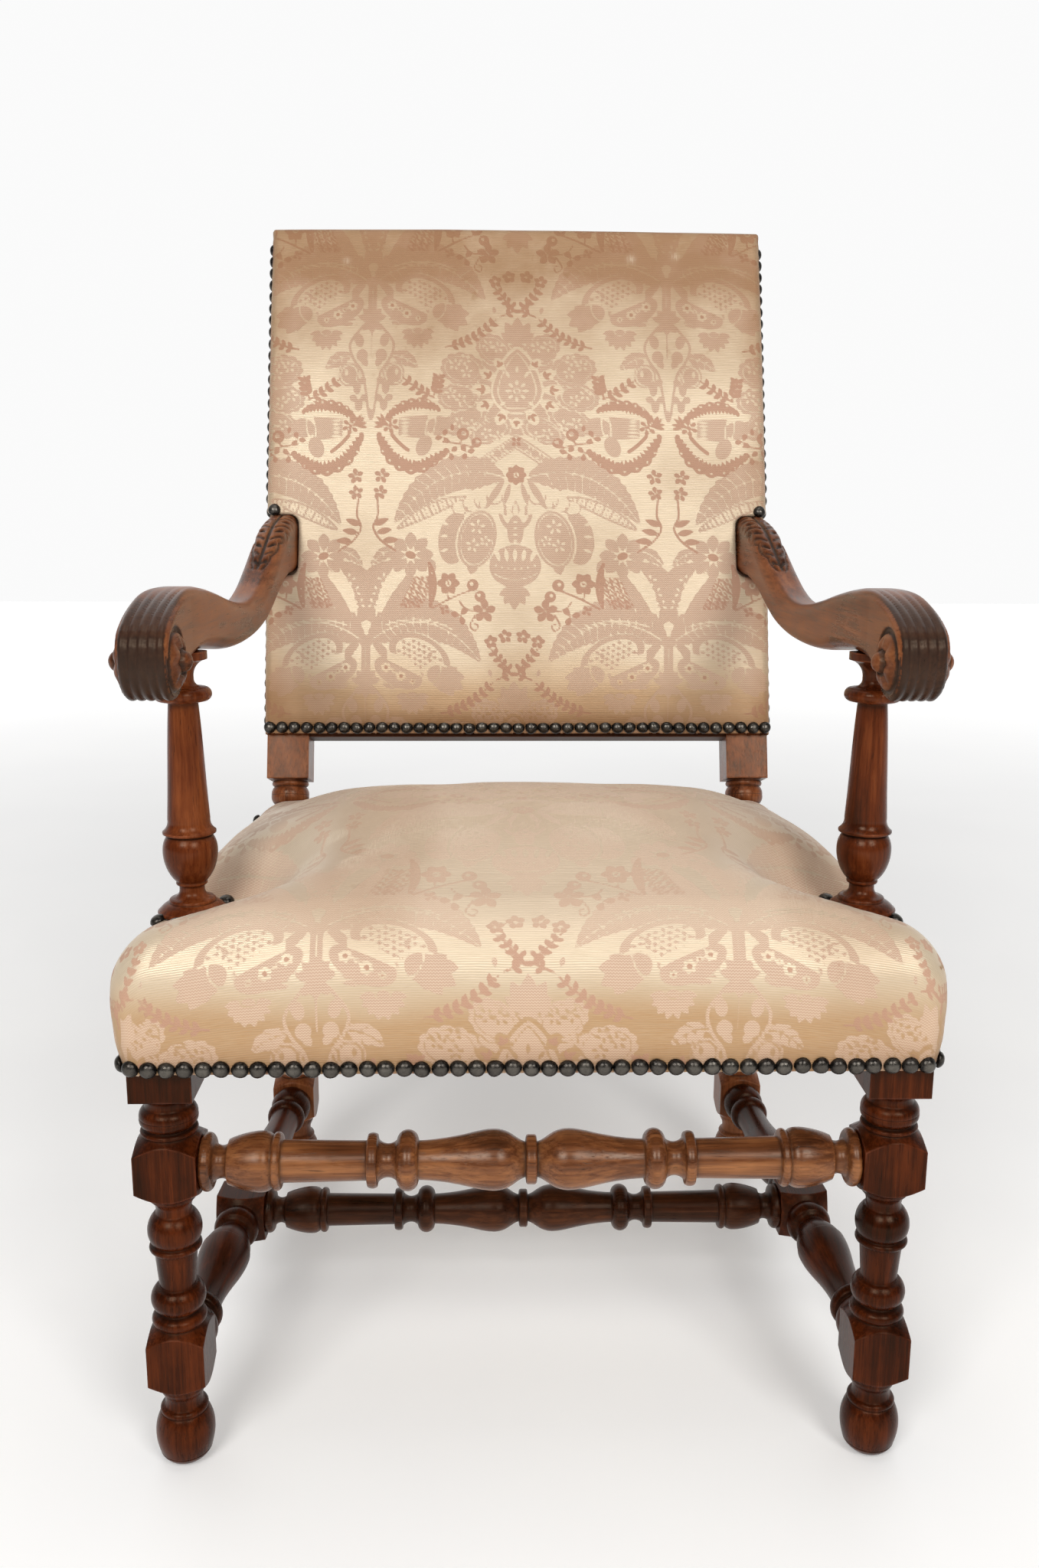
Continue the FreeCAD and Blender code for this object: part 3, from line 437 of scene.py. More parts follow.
def damask():
    """Satin ground with a matt woven pattern; the pattern is carried by distances on the mesh."""
    g = Graph("damask")
    fab = g.attr("fab", out=1)
    da, db = g.attr("pat_a"), g.attr("pat_b")
    soil_and_shade = g.attr("soil_and_shade")
    wob = g.noise(fab, 900.0, 2, 0.5)
    wob = g.math("MULTIPLY_ADD", wob, 0.9, -0.45)
    a = g.remap(g.math("ADD", da, wob), -0.45, 0.45, 0.0, 1.0, True)
    b = g.remap(g.math("ADD", db, wob), -0.45, 0.45, 0.0, 1.0, True)
    # threads: ribs across, and a small net inside the motifs
    rib = g.node("ShaderNodeTexWave", {"Vector": fab, "Scale": 157.0, "Distortion": 0.5, "Detail": 1.0},
                 wave_type="BANDS", bands_direction="Y", out=1)
    sep = g.nt.nodes.new("ShaderNodeSeparateXYZ")
    g.put(sep.inputs[0], fab)
    zig = g.math("MULTIPLY", g.math("PINGPONG", sep.outputs[0], 0.00125), 400.0)
    row_ = g.math("FRACT", g.math("MULTIPLY_ADD", sep.outputs[1], 430.0, zig))
    net = g.math("ABSOLUTE", g.math("SUBTRACT", row_, 0.5))
    dots = g.remap(net, 0.08, 0.24, 0.0, 1.0, True)
    slub = g.noise(g.coords((60, 900, 1), src=fab), 1.0, 3, 0.6)
    weft = g.noise(g.coords((900, 80, 1), src=fab), 1.0, 2, 0.6)
    satin_shade = g.attr("satin_shade")
    ground = g.mix(g.remap(slub, 0.3, 0.7), lin(213, 198, 173), lin(229, 216, 193))
    ground = g.mix(g.math("MULTIPLY", rib, 0.42), ground, lin(194, 171, 138))
    # painted satin shade: the ground turns golden brown where satin_shade is high, on faces that turn away from the
    # light, with a small share everywhere
    ground = g.mix(g.math("MULTIPLY", satin_shade, g.remap(slub, 0.3, 0.7, 0.75, 0.98)), ground, lin(180, 140, 94))
    tone_a = g.mix(dots, lin(214, 192, 168), lin(189, 156, 135))
    # the motif's colour shifts a little with the same painted satin shade
    tone_a = g.mix(g.math("MULTIPLY", satin_shade, 0.4), tone_a, g.mix(dots, lin(216, 188, 158), lin(200, 168, 138)))
    tone_b = g.mix(g.math("MULTIPLY", dots, 0.5), lin(176, 131, 108), lin(188, 147, 124))
    col = g.mix(g.math("MULTIPLY", a, 0.92), ground, tone_a)
    col = g.mix(g.math("MULTIPLY", b, 0.85), col, tone_b)
    # painted satin reflection: the pattern washed to one pale tone where the fade attribute is high, on the upward
    # faces of the seat
    col = g.mix(g.math("MULTIPLY", g.attr("fade"), 0.8), col, lin(211, 190, 167))
    # ground and motif darkened alike by soil_and_shade: dirt and stains, and painted shade where the mesh puts it
    darkening = g.noise(fab, 16.0, 5, 0.62)
    spots = g.remap(g.noise(fab, 46.0, 3, 0.6), 0.62, 0.74, 0.0, 1.0, True)
    s = g.math("MULTIPLY", soil_and_shade, g.remap(darkening, 0.25, 0.75, 0.65, 1.3), clamp=True)
    s = g.math("MULTIPLY_ADD", g.math("MULTIPLY", spots, soil_and_shade), 0.35, s, clamp=True)
    col = g.mix(g.math("MULTIPLY", s, 0.92), col, g.mix(0.8, col, lin(178, 138, 96), "MULTIPLY"))
    col = g.mix(g.math("MULTIPLY", s, 0.52), col, lin(142, 108, 73))
    wear = g.attr("wear")
    col = g.mix(g.math("MULTIPLY", wear, g.remap(weft, 0.3, 0.65)), col, lin(226, 212, 188))
    g.put(g.bsdf.inputs["Base Color"], col)
    m = g.math("MAXIMUM", a, b)
    matt = g.math("MAXIMUM", m, g.math("MULTIPLY", s, 0.7))
    g.put(g.bsdf.inputs["Roughness"], g.remap(matt, 0.0, 1.0, 0.43, 0.76))
    g.put(g.bsdf.inputs["Metallic"], g.remap(matt, 0.0, 1.0, 0.34, 0.0))
    g.bsdf.inputs["Sheen Weight"].default_value = 0.12
    g.bsdf.inputs["Sheen Roughness"].default_value = 0.4
    g.bsdf.inputs["Specular IOR Level"].default_value = 0.4
    h = g.math("MULTIPLY", rib, g.math("SUBTRACT", 1.0, g.math("MULTIPLY", m, 0.6)))
    h = g.math("MULTIPLY_ADD", g.math("MULTIPLY", dots, m), 0.7, h)
    h = g.math("MULTIPLY_ADD", m, 0.9, h)
    h = g.math("MULTIPLY_ADD", slub, 0.5, h)
    g.put(g.bsdf.inputs["Normal"], g.bump(h, 0.35, 0.00035))
    return g.mat


def plain_weave(name, a, b, pitch, rough=0.85, height=0.0004, fray=0.0):
    """Plain woven cloth: crossing threads with slubs."""
    g = Graph(name)
    fab = g.attr("fab", out=1)
    wx = g.node("ShaderNodeTexWave", {"Vector": fab, "Scale": 0.314 / pitch, "Distortion": 1.2, "Detail": 2.0},
                wave_type="BANDS", bands_direction="X", out=1)
    wy = g.node("ShaderNodeTexWave", {"Vector": fab, "Scale": 0.314 / pitch, "Distortion": 1.2, "Detail": 2.0},
                wave_type="BANDS", bands_direction="Y", out=1)
    th = g.math("MAXIMUM", wx, wy)
    s1 = g.noise(g.coords((30, 600, 1), src=fab), 1.0, 3, 0.6)
    s2 = g.noise(g.coords((600, 30, 1), src=fab), 1.0, 3, 0.6)
    blot = g.noise(fab, 14.0, 4, 0.6)
    f = g.math("MULTIPLY_ADD", th, 0.45, g.math("MULTIPLY", g.math("ADD", s1, s2), 0.28))
    col = g.mix(g.remap(f, 0.25, 0.8), a, b)
    col = g.mix(g.remap(blot, 0.35, 0.75, 0.0, 0.45), col, tuple(c * 0.62 for c in a))
    g.put(g.bsdf.inputs["Base Color"], col)
    g.put(g.bsdf.inputs["Roughness"], g.remap(th, 0.0, 1.0, rough + 0.08, rough - 0.06))
    g.bsdf.inputs["Sheen Weight"].default_value = 0.15
    g.put(g.bsdf.inputs["Normal"], g.bump(f, 0.6, height))
    return g.mat


mat_nail = nail_metal()
mat_damask = damask()
mat_outer = plain_weave("plain_cloth", lin(150, 112, 66), lin(196, 160, 108), 0.0011)
mat_hessian = plain_weave("hessian", lin(120, 92, 58), lin(186, 154, 108), 0.0022, 0.92, 0.0008)
mat_web = plain_weave("webbing", lin(168, 148, 116), lin(214, 198, 166), 0.0016, 0.88, 0.0006)

gf = Graph("studio_floor")
fn = gf.noise(gf.coords(), 3.0, 3, 0.5)
gf.put(gf.bsdf.inputs["Base Color"], gf.mix(gf.remap(fn, 0.3, 0.7), (0.80, 0.80, 0.80), (0.83, 0.83, 0.825)))
gf.bsdf.inputs["Roughness"].default_value = 0.9
far = gf.node("ShaderNodeVectorMath", {0: gf.coords()}, out=1, operation="LENGTH")
gf.bsdf.inputs["Emission Color"].default_value = (1, 1, 1, 1)
gf.put(gf.bsdf.inputs["Emission Strength"], gf.remap(far, 0.8, 4.5, 0.20, 0.70))
floor.data.materials.append(gf.mat)


# ---------------------------------------------------------------------------
# woven pattern: own leaf, flower and fruit motifs on mirrored axes
# ---------------------------------------------------------------------------
PER_U, PER_V, V_LOW = 336.0, 418.0, 204.0


class Weave:
    """Two layers of signed distance, in millimetres, positive inside a motif."""

    def __init__(self, U, V):
        U, V = np.asarray(U, float), np.asarray(V, float)
        self.u = np.abs((U + PER_U / 2) % PER_U - PER_U / 2)
        self.v = (V - V_LOW) % PER_V + V_LOW
        self.lay = {"a": np.full(len(U), -6.0), "b": np.full(len(U), -6.0)}

    def near(self, cx, cy, reach):
        for mx in (cx, -cx, PER_U - cx):
            if mx != cx and abs(mx - cx) > 2 * reach + 4:
                continue
            for k in (-PER_V, 0.0, PER_V):
                du, dv = self.u - mx, self.v + k - cy
                sel = np.nonzero(du * du + dv * dv < reach * reach)[0]
                if len(sel):
                    sg = 1.0 if mx == cx else -1.0
                    yield sel, du[sel] * sg, dv[sel]

    def put(self, lay, sel, d, cut=False):
        q = self.lay[lay]
        q[sel] = np.minimum(q[sel], -d) if cut else np.maximum(q[sel], d)

    def each(self, lay, cx, cy, reach, fn, cut=False):
        for sel, x, y in self.near(cx, cy, reach):
            d = fn(x, y)
            for one in lay:
                self.put(one, sel, d, cut)

    # --- motifs
    def disc(self, lay, cx, cy, a, b=None, rot=0.0, cut=False):
        b = a if b is None else b
        c, s = math.cos(math.radians(rot)), math.sin(math.radians(rot))

        def fn(x, y):
            X, Y = c * x + s * y, -s * x + c * y
            return (1 - np.hypot(X / a, Y / b)) * min(a, b)

        self.each(lay, cx, cy, max(a, b) + 5, fn, cut)

    def ring(self, lay, cx, cy, a, b, hw, rot=0.0, cut=False):
        c, s = math.cos(math.radians(rot)), math.sin(math.radians(rot))

        def fn(x, y):
            X, Y = c * x + s * y, -s * x + c * y
            return hw - np.abs((np.hypot(X / a, Y / b) - 1) * min(a, b))

        self.each(lay, cx, cy, max(a, b) + 5, fn, cut)

    def petal(self, lay, cx, cy, length, width, rot, belly=1.0, cut=False):
        c, s = math.cos(math.radians(rot)), math.sin(math.radians(rot))

        def fn(x, y):
            X, Y = c * x + s * y, -s * x + c * y
            k = np.clip(X / length, 0, 1)
            w = width / 2 * np.sin(np.pi * k**belly)
            end = np.maximum(np.maximum(-X, X - length), 0)
            return np.where(end > 0, -np.hypot(end, np.abs(Y)), (w - np.abs(Y)) * 0.9)

        self.each(lay, cx, cy, length + 5, fn, cut)

    def flower(self, lay, cx, cy, n, rad, width, rot=90.0, inner=0.0, cut=False):
        def fn(x, y):
            th = np.arctan2(y, x) - math.radians(rot)
            r = np.hypot(x, y)
            th = (th + np.pi / n) % (2 * np.pi / n) - np.pi / n
            X, Y = r * np.cos(th) - inner, r * np.sin(th)
            k = np.clip(X / (rad - inner), 0, 1)
            w = width / 2 * np.sin(np.pi * k**1.35) ** 0.8
            end = np.maximum(np.maximum(-X, X - (rad - inner)), 0)
            return np.where(end > 0, -np.hypot(end, np.abs(Y)), (w - np.abs(Y)) * 0.9)

        self.each(lay, cx, cy, rad + 5, fn, cut)

    def fan(self, lay, cx, cy, n, a0, a1, rad, lobes, inner=0.0, cut=False):
        """Ruffled fan between two angles with a scalloped rim."""
        def fn(x, y):
            th = np.degrees(np.arctan2(y, x)) % 360
            r = np.hypot(x, y)
            k = (th - a0) / (a1 - a0)
            rim = rad * (0.86 + 0.14 * np.abs(np.sin(np.pi * k * lobes))) * (0.80 + 0.2 * np.sin(np.pi * np.clip(k, 0, 1)))
            side = np.minimum(k, 1 - k) * math.radians(abs(a1 - a0)) * r
            d = np.minimum(np.minimum(rim - r, r - inner), side)
            slit = np.abs((k * n) % 1.0 - 0.5) * math.radians(abs(a1 - a0)) / n * r
            return np.where((r > rad * 0.36), np.minimum(d, slit - 0.5), d)

        self.each(lay, cx, cy, rad + 5, fn, cut)

    def curve(self, pts, n=26):
        p = np.array(pts, float)
        if len(p) == 3:
            t = np.linspace(0, 1, n)[:, None]
            mid = 2 * p[1] - 0.5 * (p[0] + p[2])
            return (1 - t) ** 2 * p[0] + 2 * t * (1 - t) * mid + t * t * p[2]
        t = np.linspace(0, len(p) - 1, n)
        return np.stack([spline(np.arange(len(p)), p[:, i], t) for i in (0, 1)], 1)

    def along(self, pts, fn, lay, reach=10.0, cut=False):
        """fn(s, signed offset, length) gives the distance near a curve."""
        c = self.curve(pts)
        mid = c.mean(0)
        rad = np.hypot(*(c - mid).T).max() + reach
        seg = np.diff(c, axis=0)
        ln = np.hypot(*seg.T)
        cum = np.concatenate([[0], np.cumsum(ln)])
        for sel, x, y in self.near(mid[0], mid[1], rad):
            q = np.stack([x + mid[0], y + mid[1]], 1)
            best = np.full(len(q), 1e9)
            bs, bn = np.zeros(len(q)), np.zeros(len(q))
            for i in range(len(seg)):
                d = q - c[i]
                t = np.clip((d @ seg[i]) / ln[i] ** 2, 0, 1)
                e = d - t[:, None] * seg[i]
                dist = np.hypot(e[:, 0], e[:, 1])
                hit = dist < best
                best[hit] = dist[hit]
                bs[hit] = (cum[i] + t[hit] * ln[i]) / cum[-1]
                sg = np.sign(seg[i][0] * d[:, 1] - seg[i][1] * d[:, 0])
                bn[hit] = (dist * sg)[hit]
            d = fn(bs, bn, cum[-1])
            for one in lay:
                self.put(one, sel, d, cut)

    def stem(self, lay, pts, w0=1.7, w1=1.2, cut=False):
        self.along(pts, lambda s, n, L: w0 + (w1 - w0) * s - np.abs(n), lay, 8, cut)

    def leaf(self, lay, pts, width, teeth=7, amp=0.22, veins=True, belly=0.8, lop=0.0):
        """Curved serrated leaf with an open midrib and side veins."""
        def fn(s, n, L):
            env = np.sin(np.pi * np.clip(s, 0, 1) ** belly) ** 0.85
            saw = (s * teeth) % 1.0
            w = width * env * (1 - amp + amp * np.where(saw < 0.7, saw / 0.7, (1 - saw) / 0.3))
            w = np.where(n > 0, w * (1 + lop), w * (1 - lop))
            d = w - np.abs(n)
            if veins:
                d = np.minimum(d, np.abs(n) - 1.0 * (1 - 0.5 * s))
                ph = (s * teeth * 1.0 - np.abs(n) / np.maximum(width, 1) * 0.9) % 1.0
                vein = (np.abs(ph - 0.12) * L / teeth) - 0.75
                d = np.where((np.abs(n) < w * 0.82) & (s > 0.1) & (s < 0.9), np.minimum(d, vein), d)
            return d

        self.along(pts, fn, lay, width + 8)

    def lobe(self, lay, cx, cy, a, b, rot, lobes, cut=False, grow=0.0):
        """Oval with a scalloped rim."""
        c, s = math.cos(math.radians(rot)), math.sin(math.radians(rot))

        def fn(x, y):
            X, Y = c * x + s * y, -s * x + c * y
            th = np.arctan2(Y / b, X / a)
            return (1 + 0.11 * (np.abs(np.sin(th * lobes / 2)) - 0.6) - np.hypot(X / a, Y / b)) * min(a, b) + grow

        self.each(lay, cx, cy, max(a, b) * 1.1 + 6 + grow, fn, cut)

    def crescent(self, lay, pts, outer, inner, lobes, teeth, flip):
        """Ruffled band: scallops with eyelets on one side, a fringe on the other."""
        def fn(s, n, L):
            q = n * flip
            env = np.clip(np.sin(np.pi * np.clip(0.04 + 0.92 * s, 0, 1)), 0, 1) ** 0.45
            ro = outer * env * (0.70 + 0.30 * np.abs(np.sin(np.pi * lobes * s)))
            saw = np.abs((teeth * s) % 1.0 - 0.5) * 2
            ri = inner * env * (0.20 + 0.80 * saw)
            d = np.where(q > 0, ro - q, ri + q)
            hole = np.hypot(((s * lobes) % 1.0 - 0.5) * L / lobes, q - outer * 0.55) - 1.5
            return np.minimum(d, hole)

        self.along(pts, fn, lay, outer + inner + 8)

    def cells(self, lay, pts, width, count):
        """Ladder of outlined cells, each with two dots."""
        def fn(s, n, L):
            w = width * np.sin(np.pi * np.clip(0.06 + 0.90 * s, 0, 1)) ** 0.6
            c = (s * count) % 1.0
            bar = 1.15 - np.minimum(c, 1 - c) * L / count
            edge = np.abs(n) - (w - 2.0)
            dots = 1.3 - np.hypot((c - 0.5) * L / count, np.abs(n) - w * 0.33)
            return np.minimum(w - np.abs(n), np.maximum(np.maximum(bar, edge), dots))

        self.along(pts, fn, lay, width + 8)

    def frill(self, lay, pts, width, lobes, flip, cut=False):
        """Band that is plain on one side and scalloped on the other."""
        def fn(s, n, L):
            q = n * flip
            env = np.sin(np.pi * np.clip(0.03 + 0.94 * s, 0, 1)) ** 0.5
            return np.where(q > 0, width * env * (0.62 + 0.38 * np.abs(np.sin(np.pi * lobes * s))) - q, width * 0.45 * env + q)

        self.along(pts, fn, lay, width + 8, cut)

    def sprig(self, lay, pts, n, length, width, w=1.2, both=True, berry=0.0):
        """Stem with leaflets, and berries at the end."""
        self.stem(lay, pts, w, w * 0.8)
        c = self.curve(pts, n + 2)
        for i in range(1, n + 1):
            t = c[min(i + 1, n + 1)] - c[i - 1]
            ang = math.degrees(math.atan2(t[1], t[0]))
            for sg in ((-1, 1) if both else ((-1) ** i,)):
                self.petal(lay, c[i][0], c[i][1], length, width, ang + sg * 48)
        if berry:
            self.disc(lay, c[-1][0], c[-1][1], berry)


def weave(U, V):
    w = Weave(U, V)
    # -- lace medallion with a drop in the middle
    w.disc("a", 0, 549, 52, 54)
    for cx, cy, a, b, rot, n in ((30, 500, 25, 13.5, -22, 12), (60, 514, 27, 15, -28, 12), (68, 541, 23, 16, -8, 12), (63, 574, 25, 19, 12, 12),
                                 (27, 597, 23, 16.5, 38, 12)):
        w.lobe("a", cx, cy, a, b, rot, n, cut=True, grow=1.5)
        w.lobe("a", cx, cy, a, b, rot, n)
        w.ring("a", cx, cy, a * 0.80, b * 0.78, 0.55, rot, cut=True)
    for cx, cy, rot in ((34, 498, -80), (20, 494, -70), (66, 511, -20), (52, 508, -50), (76, 545, 10), (64, 538, -5), (72, 579, 30), (58, 570, 20), (60, 585, 60),
                        (34, 602, 60), (22, 600, 80)):
        w.flower("a", cx, cy, 5, 7.6, 3.4, rot, 1.6, cut=True)
    w.disc("a", 0, 493, 7, 5)

    def tear(x, y):
        low = 27.5 * np.sqrt(np.clip(1 - (y / 28.0) ** 2, 0, 1))
        up = np.clip(y / 48.0, 0, 1)
        wd = np.where(y < 0, low, 27.5 * (1 - up) ** 0.8 * (1 + 0.5 * up))
        return np.where((y > -28) & (y < 48), np.minimum((wd - np.abs(x)) * 0.86, np.minimum(y + 28, 48 - y)), -5.0)

    w.each("a", 0, 550, 58, lambda x, y: tear(x, y * 0.95) + 2.4, cut=True)
    w.each("a", 0, 550, 58, lambda x, y: np.minimum(tear(x, y), 4.2 - tear(x, y)))
    w.each("a", 0, 550, 58, lambda x, y: tear(x, y) - 6.0)
    w.flower("a", 0, 548, 8, 13.5, 4.2, 90, 5.2, cut=True)
    w.disc("a", 0, 548, 4.0, cut=True)
    w.disc("a", 0, 548, 2.2)
    for cx, cy, rot in ((0, 568, 90), (8, 563, 60), (12, 536, -40)):
        w.petal("a", cx, cy, 11, 3.8, rot, cut=True)
    w.petal("a", -8, 563, 11, 3.8, 120, cut=True)
    w.petal("a", -12, 536, 11, 3.8, 220, cut=True)
    for cx, cy, a, b in ((20.5, 580, 8, 5.2), (33.5, 567, 10, 6.2), (41, 549.5, 11, 6.6), (36.5, 531, 10.5, 6.6), (17.5, 516.5, 10, 6.2), (0, 509.5, 7, 5.6)):
        ang = math.degrees(math.atan2(cy - 549, cx))
        w.disc("a", cx, cy, a, b, ang, cut=True)
        for da in (-48, 0, 48):
            w.petal("b", cx - 0.45 * a * math.cos(math.radians(ang)), cy - 0.45 * a * math.sin(math.radians(ang)), a * (1.15 if da == 0 else 0.8), 3.6, ang + da)
    for rot, ln, wd in ((90, 35, 14), (64, 32, 12), (116, 32, 12), (40, 25, 9), (140, 25, 9)):
        w.petal("a", 0, 602, ln, wd, rot, 1.2)
    # -- leafy wreath above it
    w.sprig("b", [(83, 600), (52, 611), (24, 634)], 7, 9.5, 4.8, 1.1)
    w.sprig("b", [(20, 637), (5, 645), (14, 657), (26, 672)], 6, 9, 4.6, 1.1)
    for cx, cy, r in ((26, 680, 8), (10, 686, 8.2)):
        w.flower("b", cx, cy, 5, r, r * 0.72, 80, 0.8)
        w.disc("b", cx, cy, 1.4, cut=True)
    # -- crossed ribbon and rosette
    rib = [(1, 487), (22, 473), (47, 455)]
    w.along(rib, lambda s, n, L: 9.5 - np.abs(n), "a", 14, cut=True)
    w.along(rib, lambda s, n, L: np.minimum(7.6 - np.abs(n), np.abs(np.abs(n) - 5.0) - 0.8), "a", 14)
    for cx, cy in ((15, 478), (27, 469.5), (38, 461.5)):
        w.flower("a", cx, cy, 4, 5.6, 3.0, 10, 1.2, cut=True)
    w.flower("b", 0, 488, 4, 6.4, 4.6, 45, 0.6)
    w.flower("b", 0, 449, 8, 12, 7.4, 90, 1.0)
    w.disc("b", 0, 449, 3.4, cut=True)
    w.disc("b", 0, 449, 1.6)
    w.frill("a", [(86, 461), (66, 466), (46, 460)], 6.5, 6, -1)
    # -- great side leaf with a curled edge
    w.leaf("a", [(13, 446), (82, 446), (138, 394)], 23.5, 15, 0.16, True, 0.78, -0.06)
    w.along([(56, 424), (94, 412), (134, 389)], lambda s, n, L: 9.0 - np.abs(n) - 3 * s, "a", 14, cut=True)
    w.cells("a", [(58, 423), (94, 411), (132, 390)], 7.6, 8)
    for cx, cy, r in ((24, 424, 9), (37, 420, 9.5), (50, 416, 9), (63, 411, 8)):
        w.disc("a", cx, cy, r, cut=True)
    for cx, cy, r in ((24, 424, 9), (37, 420, 9.5), (50, 416, 9), (63, 411, 8)):
        w.each("a", cx, cy, 16, lambda x, y, r=r: np.minimum(0.95 - np.abs(np.hypot(x, y) - r), -y + 2))
    w.petal("a", 12, 446, 44, 8, -58, 0.9)
    w.petal("a", 6, 441, 30, 6, -75, 0.9)
    # -- open flower on the main axis
    w.disc("a", 69, 377, 17.5, 29, 8)
    for rot, y in ((20, 392), (0, 380), (-20, 366)):
        w.petal("a", 74, y, 12, 3.4, rot, cut=True)
    w.disc("a", 43, 376, 24.0, 35, 12, cut=True)
    w.disc("a", 43, 376, 21.5, 32.5, 12)
    w.petal("a", 46, 352, 16, 12, 285)
    w.ring("a", 43, 376, 18, 29, 0.6, 12, cut=True)
    for cx, cy, r in ((43, 390, 9.5), (48, 369, 8.5), (34, 374, 6.5)):
        w.flower("a", cx, cy, 5, r, 3.4, 100, 1.8, cut=True)
    w.disc("a", 0, 388, 18, 33, cut=True)
    for rot, ln in ((90, 35), (66, 32), (114, 32), (44, 27), (136, 27)):
        w.petal("a", 0, 386, ln, 11.5, rot, 0.9)
        w.petal("a", 1.2 * math.cos(math.radians(rot)), 390, ln - 6.5, 6.4, rot, 0.9, cut=True)
    w.disc("a", 0, 385, 9, 17)
    for y in (374, 381, 388, 395):
        w.disc("a", 0, y, 2.6, 1.5, cut=True)
    w.disc("a", 0, 346, 31, 25.5, cut=True)
    w.disc("a", 0, 346, 28.8, 23.2)
    for x, rot in ((0, 90), (8.5, 82), (17, 72)):
        for sg in ((1,) if x == 0 else (1, -1)):
            w.petal("a", sg * x, 350, 16.5, 5.0, 90 + sg * (rot - 90), cut=True)
    for i in range(-3, 4):
        w.disc("a", i * 7.2, 343 + 0.02 * (i * 7.2) ** 2 * 0.4, 1.5, cut=True)
    w.stem("a", [(-24, 338), (0, 331), (24, 338)], 0.8, 0.8, cut=True)
    for rot, ln, wd in ((270, 26, 12), (239, 23, 10), (301, 23, 10), (208, 20, 8.5), (332, 20, 8.5)):
        w.petal("a", 0, 323, ln, wd, rot, 1.15)
    # -- berry sprig
    w.flower("b", 75, 327, 6, 13, 8.6, 60, 0.6)
    w.disc("b", 75, 327, 3.6, cut=True)
    w.disc("b", 75, 327, 1.6)
    for x, y, r in ((47.5, 325, 6.6), (39, 312.5, 6.2)):
        w.disc("b", x, y, r)
        w.disc("b", x + 1.2, y + 1.2, r * 0.34, cut=True)
    w.stem("b", [(93, 299), (72, 310), (50, 319)], 1.2, 1.0)
    w.stem("b", [(74, 309), (76, 314), (75, 320)], 1.0, 0.9)
    w.stem("b", [(62, 307), (54, 298), (42, 297)], 1.1, 0.9)
    w.flower("b", 34, 296, 5, 13.5, 8.4, 20, 0.6)
    w.flower("b", 61, 291, 3, 11, 7.0, 250, 0.4)
    w.flower("b", 79, 297, 4, 6.4, 4.2, 30, 0.5)
    w.stem("b", [(44, 292), (50, 280), (44, 274), (41, 280), (45, 282)], 1.1, 0.9)
    # -- trellis and its guard leaf
    def grid(x, y):
        p, q = (x * 0.94 + y * 0.34), (x * 0.55 - y * 0.83)
        line = 0.95 - np.minimum(np.abs((p + 3.4) % 6.8 - 3.4), np.abs((q + 3.4) % 6.8 - 3.4))
        dot = 1.2 - np.hypot((p) % 6.8 - 3.4, (q) % 6.8 - 3.4)
        return np.maximum(line, dot)

    w.each("b", 110, 317, 26, lambda x, y: np.minimum(grid(x, y), 1 - np.maximum(np.abs(x * 0.9 + y * 0.42) - 11, np.abs(y) - 17)))
    w.along([(97, 350), (92.5, 326), (96, 301)], lambda s, n, L: np.minimum(4.4 * np.sin(np.pi * np.clip(0.06 + 0.88 * s, 0, 1)) ** 0.6 - np.abs(n),
            np.hypot(((s * 6) % 1 - 0.5) * L / 6, n) - 1.0), "b", 10)
    # -- second axis: star flowers, twin leaves
    w.flower("a", 118, 359, 8, 26, 12.5, 90, 5.0)
    w.disc("b", 118, 359, 6.2, 4.2, 20)
    w.leaf("a", [(133, 364), (147, 362), (164, 348)], 7.5, 3, 0.2, True)
    w.leaf("a", [(103, 352), (95, 349), (90, 340)], 5, 3, 0.2, False)
    for x, y, r in ((154, 431, 8.8), (153, 450, 9.4)):
        w.flower("b", x, y, 5, r, r * 0.58, 100, 0.8)
    w.stem("b", [(157, 424), (156, 405), (161, 391), (152, 376), (135, 364)], 1.2, 1.2)
    for x, y, rot in ((160, 394, 158), (157, 385, 168), (150, 376, 178)):
        w.petal("b", x, y, 19, 7.4, rot, 0.8)
    w.leaf("a", [(159, 282), (166, 322), (132, 353)], 14.5, 8, 0.10, False, 0.9)
    for x, y, rot in ((155, 318, 60), (149, 332, 100), (160, 304, 60)):
        w.flower("a", x, y, 4, 7.5, 3.2, rot, 1.4, cut=True)
    w.along([(152, 288), (142, 320), (124, 347)], lambda s, n, L: 2.6 * np.sin(np.pi * s) - np.abs(n), "a", 8, cut=True)
    w.leaf("a", [(151, 286), (127, 320), (112, 349)], 7.5, 6, 0.12, False)
